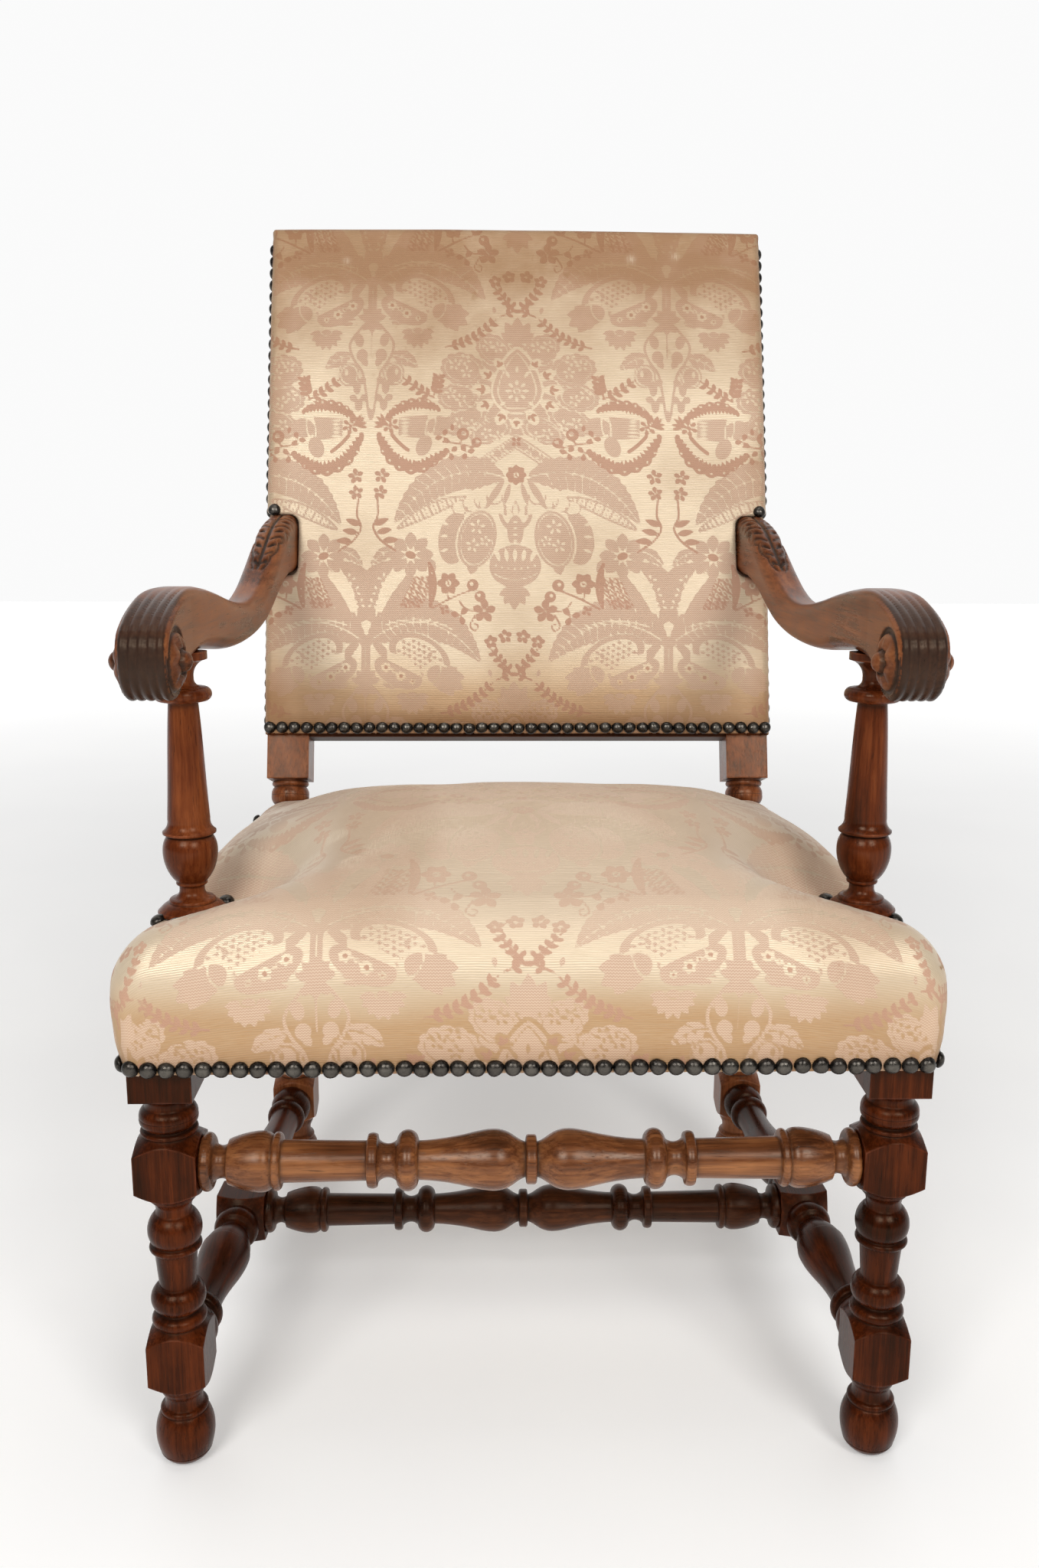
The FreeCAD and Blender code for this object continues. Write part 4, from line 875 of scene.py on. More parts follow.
    # -- cut fruit on its great leaf
    w.leaf("a", [(164, 262), (98, 282), (37, 238)], 25, 17, 0.14, True, 0.72, -0.18)
    w.frill("a", [(142, 287), (106, 294), (66, 281)], 9, 7, -1)
    w.stem("a", [(146, 280), (106, 286), (70, 275)], 1.0, 0.8, cut=True)
    w.disc("a", 107, 246, 37, 23.5, 26, cut=True)
    w.ring("a", 107, 246, 33, 19.5, 2.4, 26)
    c26, s26 = math.cos(math.radians(26)), math.sin(math.radians(26))
    for i in range(-4, 5):
        for j in range(-2, 3):
            x, y = i * 6.6 + (3.3 if j % 2 else 0), j * 5.6
            if (x / 26) ** 2 + (y / 13.5) ** 2 < 1:
                cx, cy = 107 + c26 * x - s26 * y, 246 + s26 * x + c26 * y
                w.each("a", cx, cy, 8, lambda X, Y: 2.7 - np.abs(X) - np.abs(Y) * 1.1)
                w.disc("b", cx, cy, 0.9)
    w.disc("a", 131, 228, 31, 17, 31, cut=True)
    w.each("a", 131, 227, 38, lambda x, y: np.minimum((1 - np.hypot((c26 * x + s26 * y) / 29, (-s26 * x + c26 * y) / 15.5)) * 15, 7 - (-s26 * x + c26 * y)))
    for x, y, r in ((145, 233, 6.4), (128, 223, 6.4), (136, 229, 3.6), (115, 217, 4.0)):
        w.flower("a", x, y, 6, r, r * 0.62, 20, 0.5, cut=True)
        w.disc("b", x, y, r * 0.36)
    w.disc("a", 84, 222, 19, 15, 26, cut=True)
    w.disc("a", 83, 222, 16, 12, 26)
    for rot, ln, wd in ((158, 22, 10), (184, 29, 13), (210, 31, 14), (236, 28, 13), (262, 20, 9)):
        w.petal("a", 84, 224, ln, wd, rot, 1.3)
    w.ring("a", 92, 227, 8, 13, 0.9, 26, cut=True)
    for rot in (90, 52, 128, 14, 166, 232, 308, 270):
        w.petal("a", 168, 216, 17, 8.5, rot, 1.1)
    w.along([(168, 264), (168, 240), (168, 214)], lambda s, n, L: np.minimum(5.0 - np.abs(n), np.abs(n) - 0.8), "a", 10)
    w.disc("a", 168, 262, 8, 6)
    w.leaf("a", [(160, 258), (150, 252), (146, 238)], 5.5, 3, 0.2, False)
    # -- garland hanging on the second axis
    w.stem("a", [(158, 627), (143, 606), (147, 587), (157, 572), (161, 553), (165, 523)], 1.5, 1.3)
    w.stem("a", [(168, 634), (168, 610), (168, 590)], 1.0, 0.8)
    w.disc("a", 153.5, 609, 5.2, 8.0, 10)
    w.disc("a", 157, 591, 6.6, 7.6)
    w.petal("a", 157, 588, 12, 8, 300)
    w.leaf("a", [(145, 590), (130, 587), (114, 575)], 9.5, 4, 0.16, True)
    w.disc("a", 142, 568.5, 8.6, 10.2)
    w.ring("a", 142, 568.5, 11.6, 13.2, 0.9)
    w.disc("a", 139, 571, 2.0, 4.2, 0, cut=True)
    for x, y in ((151.5, 554, ), (153.5, 534)):
        w.flower("a", x, y + 3, 3, 12, 8.2, 270, 0.2)
        w.disc("a", x, y, 4.6)
    w.disc("a", 168, 521, 3.4, 6.6)
    for i in range(8):
        w.petal("a", 115, 620, 23 - abs(i - 3.5), 7.2, 186 + i * 24, 1.35)
    w.disc("a", 115, 620, 7, 4.5, cut=True)
    w.disc("a", 115, 620, 5.4, 3.2)
    w.leaf("a", [(150, 632), (136, 632), (126, 628)], 6, 3, 0.2, True)
    # -- fringed carnation
    w.crescent("b", [(149, 517), (120, 531), (90, 526)], 9.0, 7.5, 7, 15, -1)
    w.crescent("b", [(158, 497), (139, 470), (112, 461), (80, 477)], 10.5, 9.0, 8, 17, 1)
    w.each("a", 117, 506, 34, lambda x, y: np.minimum(np.minimum(17 + 0.1 * x - np.abs(x), 12.5 - 0.08 * x - np.abs(y)), 99))
    for i in range(5):
        w.petal("a", 136, 497 + i * 4.4, 15, 2.8, 180, 1.0, cut=True)
    w.disc("a", 90, 507, 13, 11, -20)
    w.ring("a", 99, 507, 5, 15, 1.0, 10, cut=True)
    w.disc("a", 106, 484, 8.5, 12.5, 24)
    w.along([(143, 497), (134, 487), (124, 479)], lambda s, n, L: 2.1 - np.abs(n), "b", 8)
    w.flower("b", 145, 508, 6, 10.5, 4.6, 20, 1.8)
    w.disc("b", 145, 508, 2.0)
    for rot in (-12, 12, 40, 62):
        w.petal("b", 150, 509, 16, 3.8, rot)
    w.sprig("b", [(95, 540), (112, 549), (132, 564)], 4, 10, 5.0, 1.1)
    w.sprig("b", [(97, 541), (92, 553), (90, 568)], 4, 10.5, 5.0, 1.1)
    # -- berries beside it
    for x, y, r in ((61.5, 497, 7.2), (45.5, 487, 6.0)):
        w.disc("b", x, y, r)
        w.disc("b", x - 1.0, y + 0.8, r * 0.42, cut=True)
    w.stem("b", [(84, 488), (68, 486), (48, 481)], 1.1, 0.9)
    w.stem("b", [(66, 486), (62, 491), (61, 495)], 1.0, 0.9)
    for x, y, rot in ((84, 494, 110), (75, 476, 260), (57, 476, 290)):
        w.flower("b", x, y, 3, 9.5, 6.2, rot, 0.4)
    w.petal("b", 73, 500, 10, 4.4, 80)
    # -- small fillers
    for x, y, rot in ((26, 640, 80), (98, 660, 120)):
        w.petal("a", x, y, 10, 4.5, rot)
    return np.clip(w.lay["a"], -6, 6), np.clip(w.lay["b"], -6, 6)


# ---------------------------------------------------------------------------
# carved arms
# ---------------------------------------------------------------------------
TOP_LINE = [(-24, 659), (-23, 671), (-17, 681), (-4, 689), (14, 696), (36, 701.5), (60, 704.8), (92, 705.5), (130, 702), (170, 696),
            (220, 687), (266, 680.5), (305, 678), (340, 681), (375, 690), (415, 706.5), (455, 725.5), (490, 740.5), (525, 749.5),
            (560, 754.5), (600, 757)]
BOT_LINE = [(600, 690), (540, 692), (500, 689), (455, 679), (415, 665.5), (375, 653), (330, 645.5), (285, 642.5), (236, 642.5),
            (190, 645.5), (150, 650.5), (105, 654), (70, 654), (48, 651), (38, 645)]
SCR_Y, SCR_Z, SCR_R = 5.0, 657.0, 29.0


def chain(pts, n):
    p = np.array(pts, float)
    c = np.concatenate([[0], np.cumsum(np.hypot(*np.diff(p, axis=0).T))])
    t = np.linspace(0, c[-1], n)
    return np.stack([spline(c, p[:, i], t) for i in (0, 1)], 1)


def poly_distance(poly, Y, Z):
    """Signed distance to a closed polygon, negative inside."""
    y, z = Y.ravel(), Z.ravel()
    best = np.full(len(y), 1e9)
    inside = np.zeros(len(y), bool)
    for (ay, az), (by, bz) in zip(poly, np.roll(poly, -1, axis=0)):
        ey, ez = by - ay, bz - az
        wy, wz = y - ay, z - az
        t = np.clip((wy * ey + wz * ez) / max(ey * ey + ez * ez, 1e-12), 0, 1)
        best = np.minimum(best, (wy - t * ey) ** 2 + (wz - t * ez) ** 2)
        hit = ((az > z) != (bz > z)) & (y < (by - ay) * (z - az) / (bz - az if bz != az else 1e-12) + ay)
        inside ^= hit
    d = np.sqrt(best)
    return np.where(inside, -d, d).reshape(Y.shape)


def arm_faces(y):
    """Inner and outer face of an arm."""
    k = np.clip((y - 60) / 540.0, 0, 1)
    xin = 260.0 - 14.0 * k
    xout = 298.0 - 1.0 * np.clip((y - 60) / 60.0, 0, 1) - 17.0 * np.clip((y - 120) / 480.0, 0, 1)
    return xin, xout


def arm_carving(x, y, z):
    """Reeds cut in, leaf raised or cut, the painted shade in each recess, and a darker scroll front."""
    xin, xout = arm_faces(y)
    mid, half = (xin + xout) / 2, (xout - xin) / 2
    u = (x - mid) / half
    au = np.abs(u)
    zt = np.interp(y, [p[0] for p in TOP_LINE], [p[1] for p in TOP_LINE])
    zb = np.interp(y, [p[0] for p in reversed(BOT_LINE)], [p[1] for p in reversed(BOT_LINE)])
    upper = sstep(-2, 12, z - (zt + zb) / 2)
    # reeds round the scroll: five, with a plain rim each side, fading out on top and underneath
    fade = np.where(z > SCR_Z, 1 - sstep(30, 92, y + 26 * (u + 0.3)), 1 - sstep(24, 44, y))
    r = np.clip((au - 0.0) / 0.90, 0, 1)
    q = 2 * ((np.clip((u / 0.90 + 1) / 2, 0, 0.9999) * 5) % 1.0) - 1
    reed = 2.9 * (1 - np.sqrt(np.clip(1 - 0.96 * q * q, 0, 1)))
    reed = np.where(au > 0.90, 2.3 * (1 - sstep(0.90, 0.95, au)), reed) * fade
    # painted shade: darker in the grooves between the reeds, by their depth
    dark = np.clip(reed / 2.0, 0, 1)
    # the front of the scroll is made darker
    front = (1 - sstep(6, 78, y + 10 * u)) * sstep(-70, -10, z - 702)
    front = np.maximum((1 - sstep(20, 60, y)) * (1 - sstep(676, 692, z)), 0.93 * (1 - sstep(4, 78, y + 16 * u)))
    # leaf on the rise at the rear
    v = np.clip((y - 404.0) / (556.0 - 404.0), 0, 1)
    lobes = 5.0
    ph = v * lobes
    env = (0.08 + 1.0 * np.clip(v * 1.35, 0, 1) ** 0.6) * (0.80 + 0.20 * np.abs(np.sin(np.pi * ph)) ** 0.6)
    inside = (1 - sstep(env - 0.07, env + 0.01, au)) * sstep(0.0, 0.04, v)
    vein = 1 - sstep(0.05, 0.13, au)
    lp = (ph - 0.62 * au) % 1.0
    rib = (1 - sstep(0.05, 0.13, np.abs(lp - 0.93))) * sstep(0.10, 0.20, au)
    cell = (ph - 0.62 * au + 0.07) % 1.0
    eye = np.hypot((cell - 0.5) * 30.0 / 4.6, (au - env * 0.58) * 18.0 / 4.4)
    pit = 1 - sstep(0.55, 1.15, eye)
    ring_cut = (1 - sstep(0.02, 0.09, np.abs(au - env - 0.045))) * sstep(0.0, 0.05, v)
    rise = 1.6 * inside - 2.0 * vein * inside - 1.5 * rib * inside - 3.0 * pit * inside - 1.7 * ring_cut
    # painted shade in the leaf's pits, veins, ribs and outline cut
    dark_leaf = np.clip(0.9 * pit * inside + 0.8 * vein * inside + 0.6 * rib * inside + 0.85 * ring_cut + 0.22 * inside, 0, 1)
    # small cut mark behind the scroll
    yy_, xx_ = y - 148.0, x - mid
    arms3 = np.minimum(np.abs(xx_), np.minimum(np.abs(xx_ * 0.8 - yy_ * 0.6), np.abs(xx_ * 0.8 + yy_ * 0.6)))
    mark = (1 - sstep(0.6, 1.7, arms3)) * (1 - sstep(9, 12, np.hypot(yy_ - 4, xx_))) * sstep(-3, 0, yy_)
    # third value: the darkness, painted shade in the recesses and the cut mark, with the darker scroll front
    return reed + 1.3 * mark * upper, rise * upper, np.clip(np.maximum(0.9 * dark, 0.97 * front) + dark_leaf * upper + 0.6 * mark * upper, 0, 1)


def arm_volume():
    top = chain(TOP_LINE, 110)
    bot = chain(BOT_LINE, 90)
    a0 = math.atan2(645 - SCR_Z, 38 - SCR_Y)
    arc = [(SCR_Y + SCR_R * math.cos(a), SCR_Z + SCR_R * math.sin(a)) for a in np.linspace(a0 - 0.12, -math.pi + 0.1, 26)]
    poly = np.concatenate([top, bot, np.array(arc)])
    h = 1.25
    gx_ = np.arange(244.0, 316.0, h)
    gy_ = np.arange(-34.0, 566.0, h)
    gz_ = np.arange(620.0, 768.0, h)
    Y2, Z2 = np.meshgrid(gy_, gz_, indexing="ij")
    D2 = poly_distance(poly, Y2, Z2)[None, :, :]
    X, Y, Z = gx_[:, None, None], gy_[None, :, None], gz_[None, None, :]
    xin, xout = arm_faces(Y)
    reed, rise, _ = arm_carving(X, Y, Z)
    D = D2 + reed - rise
    dx = np.maximum(xin - X, X - xout)
    rad = 5.0 + 7.5 * sstep(36, 120, Y)
    d = np.minimum(np.maximum(D, dx), -rad) + np.hypot(np.maximum(D + rad, 0), np.maximum(dx + rad, 0))
    # rosettes on both sides of the scroll
    rho = np.hypot(Y - SCR_Y, Z - SCR_Z)
    th = np.arctan2(Z - SCR_Z, Y - SCR_Y)
    pet = np.abs(np.cos(3.5 * th))
    dome = 5.4 * np.clip(1 - (rho / 21.0) ** 2, 0, 1) ** 0.6
    dome = dome + 1.8 * (pet - 0.5) * sstep(8.5, 11.0, rho) * (1 - sstep(17, 20.5, rho))
    dome = dome - 2.0 * (1 - sstep(0.6, 1.8, np.abs(rho - 9.0)))
    dome = np.where(rho < 8.2, 5.0 + 6.6 * np.clip(1 - (rho / 8.2) ** 2, 0, 1) ** 0.62, dome)
    for face, sg in ((xin, -1.0), (xout, 1.0)):
        out = (X - face) * sg
        groove = np.hypot(rho - 23.4, out) - 2.3
        d = np.maximum(d, -groove)
        boss = np.maximum(np.maximum(rho - 21.0, out - dome), -out - 5.0)
        d = np.minimum(d, boss)
    # the end lies against the post
    t = (Y - DEPTH) * CA - (Z - Z_KINK) * SA
    d = np.maximum(d, t + HP + 0.3)
    return d, gx_, gy_, gz_


vol, gx, gy, gz = arm_volume()
av, aq = surface(vol, gx, gy, gz)
_, _, carve_shade = arm_carving(*av.T)
xi_, xo_ = arm_faces(av[:, 1])
off_face = np.maximum(xi_ - av[:, 0], av[:, 0] - xo_)
rho_ = np.hypot(av[:, 1] - SCR_Y, av[:, 2] - SCR_Z)
# the rosettes a little darker all over, with painted shade in the ring groove and round the boss
carve_shade = np.where((off_face > -1.5) & (rho_ < 27), np.clip(0.25 + 0.65 * (np.abs(rho_ - 23.4) < 2.6) + 0.5 * (np.abs(rho_ - 9.0) < 1.6), 0, 1), carve_shade)
# the plain sides beyond the rosettes no darker than that
carve_shade = np.where((off_face > -2.5) & (rho_ > 27), np.minimum(carve_shade, 0.25), carve_shade)
arms = []
for name, sg in (("carved_arm_left", -1.0), ("carved_arm_right", 1.0)):
    p = av.copy()
    p[:, 0] *= sg
    q = aq if sg > 0 else aq[:, ::-1]
    ob = new_mesh(name, row(p), q)
    set_attr(ob, "carve_shade", carve_shade)
    ob.data.materials.append(mat_wood["arm"])
    arms.append(ob)
    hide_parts("arm_left" if sg < 0 else "arm_right")
    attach(ob, "root")
del vol


# ---------------------------------------------------------------------------
# stuffed seat
# ---------------------------------------------------------------------------
def half_width(y):
    return 309.3 - SLOPE * y


CR_Y = [-40, -32, 0, 50, 100, 150, 200, 250, 300, 350, 400, 450, 490, 520]
CR_Z = [462, 466, 478, 493, 504, 510.5, 512, 509, 500.5, 488, 473, 458, 447, 440]
ED_Y = [-40, 0, 40, 75, 130, 200, 300, 420, 520]
ED_Z = [450, 452, 449, 448, 447.5, 447.5, 448, 447, 440]
R_TOP = 41.0


def seat_top(x, y):
    """Height of the seat before its edges are rounded."""
    e, c = spline(ED_Y, ED_Z, y), spline(CR_Y, CR_Z, y)
    u = np.clip(np.abs(x) / half_width(y), 0, 1.08)
    z = e + (c - e) * (1 - u**4.2)
    # the cover is drawn down round each arm support, with a crease running inwards
    ddx = SUP_X - np.abs(x)
    ddy = y - SUP_Y
    rho = np.hypot(np.where(ddx > 0, ddx / 1.35, ddx), ddy)
    pull = np.exp(-(np.maximum(rho - 30.0, 0) / (38.0 - 4.0 * ddy / np.hypot(ddy, 30.0))) ** 2)
    z = z - (z - 437.3) * pull
    crease = np.exp(-((ddy - 0.10 * ddx) / 14.0) ** 2) * sstep(150, 40, ddx) * sstep(-12, 24, ddx)
    z = z - 3.0 * crease * (1 - pull)
    # slack and lumps of a worn hair seat
    z = z + (1 - pull) * (1.5 * vnoise(x / 95.0, y / 80.0, 0.3) + 0.7 * vnoise(x / 38.0, y / 44.0, 5.1))
    return z


def edge_r(x, y):
    """Radius of the rolled top edge, smaller along the sides."""
    u = np.abs(x) / half_width(y)
    return R_TOP - 11.0 * sstep(0.62, 0.96, u) - 14.0 * np.exp(-((y - SUP_Y) / 70.0) ** 2) * sstep(0.8, 0.96, u)


def seat_field(x, y, z, grow=0.0):
    hw = half_width(y)
    bul = np.where(x < 0, 8.6, 6.0) * np.sin(np.pi * np.clip((z - 349.5) / 128.0, 0, 1))
    puck = 0.55 * np.exp(-np.clip(z - 355, 0, 200) / 13.0) * np.exp(-np.clip(355 - z, 0, 20) / 3.0)
    dx = np.abs(x) - (hw + bul - puck * (0.5 + 0.5 * np.cos(2 * np.pi * y / 13.88)))
    fb = 5.0 * np.sin(np.pi * np.clip((z - 349.5) / 128.0, 0, 1))
    dyf = (-32.0 - fb + puck * (0.5 + 0.5 * np.cos(2 * np.pi * (x / 13.9 + 0.5)))) - y
    t = (y - DEPTH) * CA - (z - Z_KINK) * SA
    dyr = t - 16.3
    plan = rmax(dx, dyf, 18.0 + 16.0 * sstep(392, 452, z))
    top = seat_top(x, y)
    dz = (z - top) * 0.97
    d = rmax(plan, dz, edge_r(x, y))
    d = rmax(d, dyr, 9.0)
    post = np.maximum(232.6 - np.abs(x), -HP - 1.6 - t)
    d = rmax(d, -post, 4.0)
    well = np.minimum(24.8 - np.hypot(np.abs(x) - SUP_X, y - SUP_Y), z - 424.0)
    d = rmax(d, well, 3.0)
    d = np.maximum(d, 349.5 + 6.5 * sstep(455, 492, y) - z)
    return d - grow


sx = np.linspace(-323, 323, 294)
yy = [-44.0]
while yy[-1] < 532:
    yy.append(yy[-1] + 2.0 + 1.1 * min(1.0, max(0.0, (yy[-1] - 20) / 160)))
sy = np.array(yy)
sz = np.concatenate([np.arange(346.4, 450, 2.2), np.arange(450, 521, 2.2)])
SX, SY, SZ = sx[:, None, None], sy[None, :, None], sz[None, None, :]
sv, sq = surface(seat_field(SX, SY, SZ), sx, sy, sz)


def field_normal(fn, p, e=0.6):
    g = np.stack([fn(p[:, 0] + e * (i == 0), p[:, 1] + e * (i == 1), p[:, 2] + e * (i == 2))
                  - fn(p[:, 0] - e * (i == 0), p[:, 1] - e * (i == 1), p[:, 2] - e * (i == 2)) for i in range(3)], 1)
    return g / np.maximum(np.linalg.norm(g, axis=1, keepdims=True), 1e-9)


def billow(name, field, axes, held, depth, place, turn):
    """Cloth under air pressure, on a coarse copy that starts smaller and is held along its edges.

    Gives the points of the copy and the offset each one ends with from the shape it was cut to.
    """
    ax, ay, az = axes
    cv, cq = surface(field(ax[:, None, None], ay[None, :, None], az[None, None, :]), ax, ay, az)
    cn = field_normal(field, cv)
    hold = held(cv)
    start = place(cv - cn * (depth * (1 - hold))[:, None])
    # faces turned outwards, so that the pressure swells the copy
    a, b, c, d = (start[cq[:, i]] for i in range(4))
    if (np.cross(a, b) * c).sum() + (np.cross(a, c) * d).sum() < 0:
        cq = cq[:, ::-1]
    ob = new_mesh(name, start, cq)
    vg = ob.vertex_groups.new(name="held")
    for w in np.unique(np.round(hold, 2)):
        vg.add([int(i) for i in np.flatnonzero(np.round(hold, 2) == w)], float(w), "REPLACE")
    md = ob.modifiers.new("cloth", "CLOTH")
    st = md.settings
    st.quality = 5
    st.mass = 0.4
    st.tension_stiffness = 18.0
    st.compression_stiffness = 18.0
    st.shear_stiffness = 8.0
    st.bending_stiffness = 0.8
    st.use_pressure = True
    st.uniform_pressure_force = 4.0
    st.vertex_group_mass = "held"
    st.effector_weights.gravity = 0.0
    md.collision_settings.use_collision = False
    md.point_cache.frame_start = 1
    md.point_cache.frame_end = 20
    for fr in range(1, 21):
        scene.frame_set(fr)
    ev = ob.evaluated_get(bpy.context.evaluated_depsgraph_get())
    end = np.empty(len(cv) * 3)
    ev.data.vertices.foreach_get("co", end)
    moved = ((end.reshape(-1, 3) - start) * 1000.0 * turn(cn)).sum(1)
    moved = np.clip(moved, -4.0, 24.0)
    free = hold < 0.2
    mean = float(moved[free].mean())
    scale = min(max(depth / mean, 0.2), 2.5) if mean > 0.2 else 1.0
    off = np.clip(np.where(np.isfinite(moved), moved, 0.0) * scale, 0.0, 2.2 * depth) - depth
    ends = np.concatenate([cq[:, [i, (i + 1) % 4]] for i in range(4)])
    count = np.bincount(ends.ravel(), minlength=len(cv))
    for _ in range(4):
        acc = np.bincount(ends[:, 0], off[ends[:, 1]], len(cv)) + np.bincount(ends[:, 1], off[ends[:, 0]], len(cv))
        off = 0.4 * off + 0.6 * acc / np.maximum(count, 1)
    off = off * (1 - hold)
    scene.frame_set(1)
    me = ob.data
    bpy.data.objects.remove(ob)
    bpy.data.meshes.remove(me)
    print("cloth", name, len(cv), "mean move", round(mean, 2), "offset", round(float(off.min()), 2), round(float(off.max()), 2))
    return cv, off


def carried(points, off, at):
    """Offsets of the coarse points, spread to other points."""
    tree = KDTree(len(points))
    for i, p in enumerate(points):
        tree.insert(p, i)
    tree.balance()
    out = np.zeros(len(at))
    for i, p in enumerate(at):
        near = tree.find_n(p, 6)
        w = [1.0 / (d * d + 9.0) for _, _, d in near]
        out[i] = sum(a * off[k] for a, (_, k, _) in zip(w, near)) / sum(w)
    return out


def seat_held(p):
    x, y, z = p.T
    t = (y - DEPTH) * CA - (z - Z_KINK) * SA
    h = sstep(392, 362, z)
    h = np.maximum(h, sstep(62, 40, np.hypot(np.abs(x) - SUP_X, y - SUP_Y)))
    return np.maximum(h, np.maximum(sstep(-60, -36, t) * sstep(200, 226, np.abs(x)), sstep(-26, -8, t)))


# settle the vertices on the surface
for _ in range(2):
    nn = field_normal(seat_field, sv)
    sv = sv - nn * np.clip(seat_field(*sv.T), -1.5, 1.5)[:, None] * 0.8
sn = field_normal(seat_field, sv)
cp, co = billow("seat_cloth_run", seat_field, (np.arange(-326.0, 327.0, 9.5), np.arange(-47.0, 536.0, 9.5), np.arange(340.0, 528.0, 9.5)),
                seat_held, 2.0, row, lambda n: n)
sv = sv + sn * (carried(cp, co, sv) * (1 - seat_held(sv)))[:, None]
# open the underside; it is closed again inside the rails
fc = sv[sq].mean(1)
fn_ = sn[sq].mean(1)
wx, wy = np.abs(fc[:, 0]) - SUP_X, fc[:, 1] - SUP_Y
in_well = (np.hypot(wx, wy) < 27.0) & (fn_[:, 0] * np.sign(fc[:, 0]) * wx + fn_[:, 1] * wy < 0.2 * np.hypot(wx, wy)) & (fc[:, 2] > 420.0)
keep = ~((fc[:, 2] < 358.0) & (fn_[:, 2] < -0.5)) & ~(in_well & (sv[sq][:, :, 2].max(1) < 436.0))
sq = sq[keep]
used = np.unique(sq)
remap = -np.ones(len(sv), int)
remap[used] = np.arange(len(used))
sv, sn, sq = sv[used], sn[used], remap[sq]


def arc_table(ys, zs):
    return np.concatenate([[0], np.cumsum(np.hypot(np.diff(ys), np.diff(zs)))])


TY = np.linspace(-40, 520, 281)
TA = arc_table(TY, spline(CR_Y, CR_Z, TY))


def seat_fabric(p):
    """Flat position on the cloth: across, and from the star motif towards the rear."""
    x, y, z = p.T
    r = edge_r(x, y)
    yc = -37.0 + r
    ym = np.maximum(y, yc)
    hw = half_width(ym)
    xc = hw + 5.0 - r
    xk, yk = np.maximum(np.abs(x) - xc, 0), yc - np.minimum(y, yc)
    rho = np.hypot(xk, yk) + 1e-9
    zc = seat_top(x, ym) - r
    bend = r * np.minimum(np.arctan2(rho, np.maximum(z - zc, 1e-6)), math.pi / 2)
    fall = np.maximum(zc - z, 0)
    w = sstep(math.pi / 4 - 0.25, math.pi / 4 + 0.25, np.arctan2(xk, yk + 1e-9))
    U = np.sign(x) * (np.minimum(np.abs(x), xc) + bend * xk / rho + fall * w)
    V = np.interp(ym, TY, TA) - bend * yk / rho - fall * (1 - w) - np.interp(20.0, TY, TA)
    return (U + 4.0) * 1.07, V * 1.06 + 312.0


def loops_of(faces):
    """Ordered boundary loops of a face set."""
    e = np.concatenate([faces[:, [i, (i + 1) % 4]] for i in range(4)])
    key = np.sort(e, 1)
    order = np.lexsort((key[:, 1], key[:, 0]))
    k = key[order]
    same = (k[1:] == k[:-1]).all(1)
    single = np.ones(len(k), bool)
    single[1:][same] = False
    single[:-1][same] = False
    nxt = {int(a): int(b) for a, b in e[order][single]}
    loops = []
    while nxt:
        a = next(iter(nxt))
        lp = [a]
        while nxt.get(lp[-1]) is not None:
            b = nxt.pop(lp[-1])
            if b == a:
                break
            lp.append(b)
        loops.append(lp)
    return loops


def soft_piece(name, verts, quads, fab, soil_and_shade, satin_shade, fade, wear, rings):
    """Mesh with fabric attributes; rings are extra rows that turn the open edge in before it is closed."""
    lp = max(loops_of(quads), key=len)
    n0 = len(verts)
    vs, fs = [verts], [list(f) for f in quads]
    prev = list(lp)
    base = n0
    for make in rings:
        r = make(verts[lp])
        vs.append(r)
        cur = list(range(base, base + len(lp)))
        base += len(lp)
        for i in range(len(lp)):
            j = (i + 1) % len(lp)
            fs.append([prev[j], prev[i], cur[i], cur[j]])
        prev = cur
    allv = np.concatenate(vs)
    ob = new_mesh(name, row(allv), fs)
    bm = bmesh.new()
    bm.from_mesh(ob.data)
    bmesh.ops.triangle_fill(bm, edges=[e for e in bm.edges if e.is_boundary], use_beauty=False)
    bm.to_mesh(ob.data)
    bm.free()
    ob.data.polygons.foreach_set("use_smooth", [True] * len(ob.data.polygons))
    extra = len(rings)

    def ext(a):
        a = np.asarray(a, float)
        return np.concatenate([a] + [a[lp]] * extra)

    U, V = ext(fab[0]), ext(fab[1])
    set_attr(ob, "fab", np.stack([U, V, np.zeros_like(U)], 1) / 1000.0, "FLOAT_VECTOR")
    pa, pb = weave(fab[0], fab[1])
    set_attr(ob, "pat_a", ext(pa))
    set_attr(ob, "pat_b", ext(pb))
    set_attr(ob, "soil_and_shade", ext(soil_and_shade))
    set_attr(ob, "satin_shade", ext(satin_shade))
    set_attr(ob, "fade", ext(fade))
    set_attr(ob, "wear", ext(wear))
    ob.data.materials.append(mat_damask)
    return ob


sU, sV = seat_fabric(sv)
x, y, z = sv.T
# soil_and_shade on the seat: darker low on the front and sides, and at random
soil_and_shade = 0.06 + 0.42 * sstep(385, 350, z) * (np.abs(sn[:, 2]) < 0.6) + 0.22 * sstep(0.15, 0.6, vnoise(x / 120.0, y / 110.0, z / 120.0 + 3.0))
# painted satin shade: low on the front and sides of the seat, on faces that are not level, with a small share
# everywhere
satin_shade = 1.0 * sstep(438, 380, z + 7 * vnoise(x / 60.0, y / 60.0, z / 40.0)) * sstep(0.9, 0.6, np.abs(sn[:, 2])) + 0.12
# painted satin reflection: the pattern washes out on the upward faces near the top of the seat
fade = 0.06 + 0.56 * sstep(440, 466, z) * sstep(0.3, 0.85, sn[:, 2])
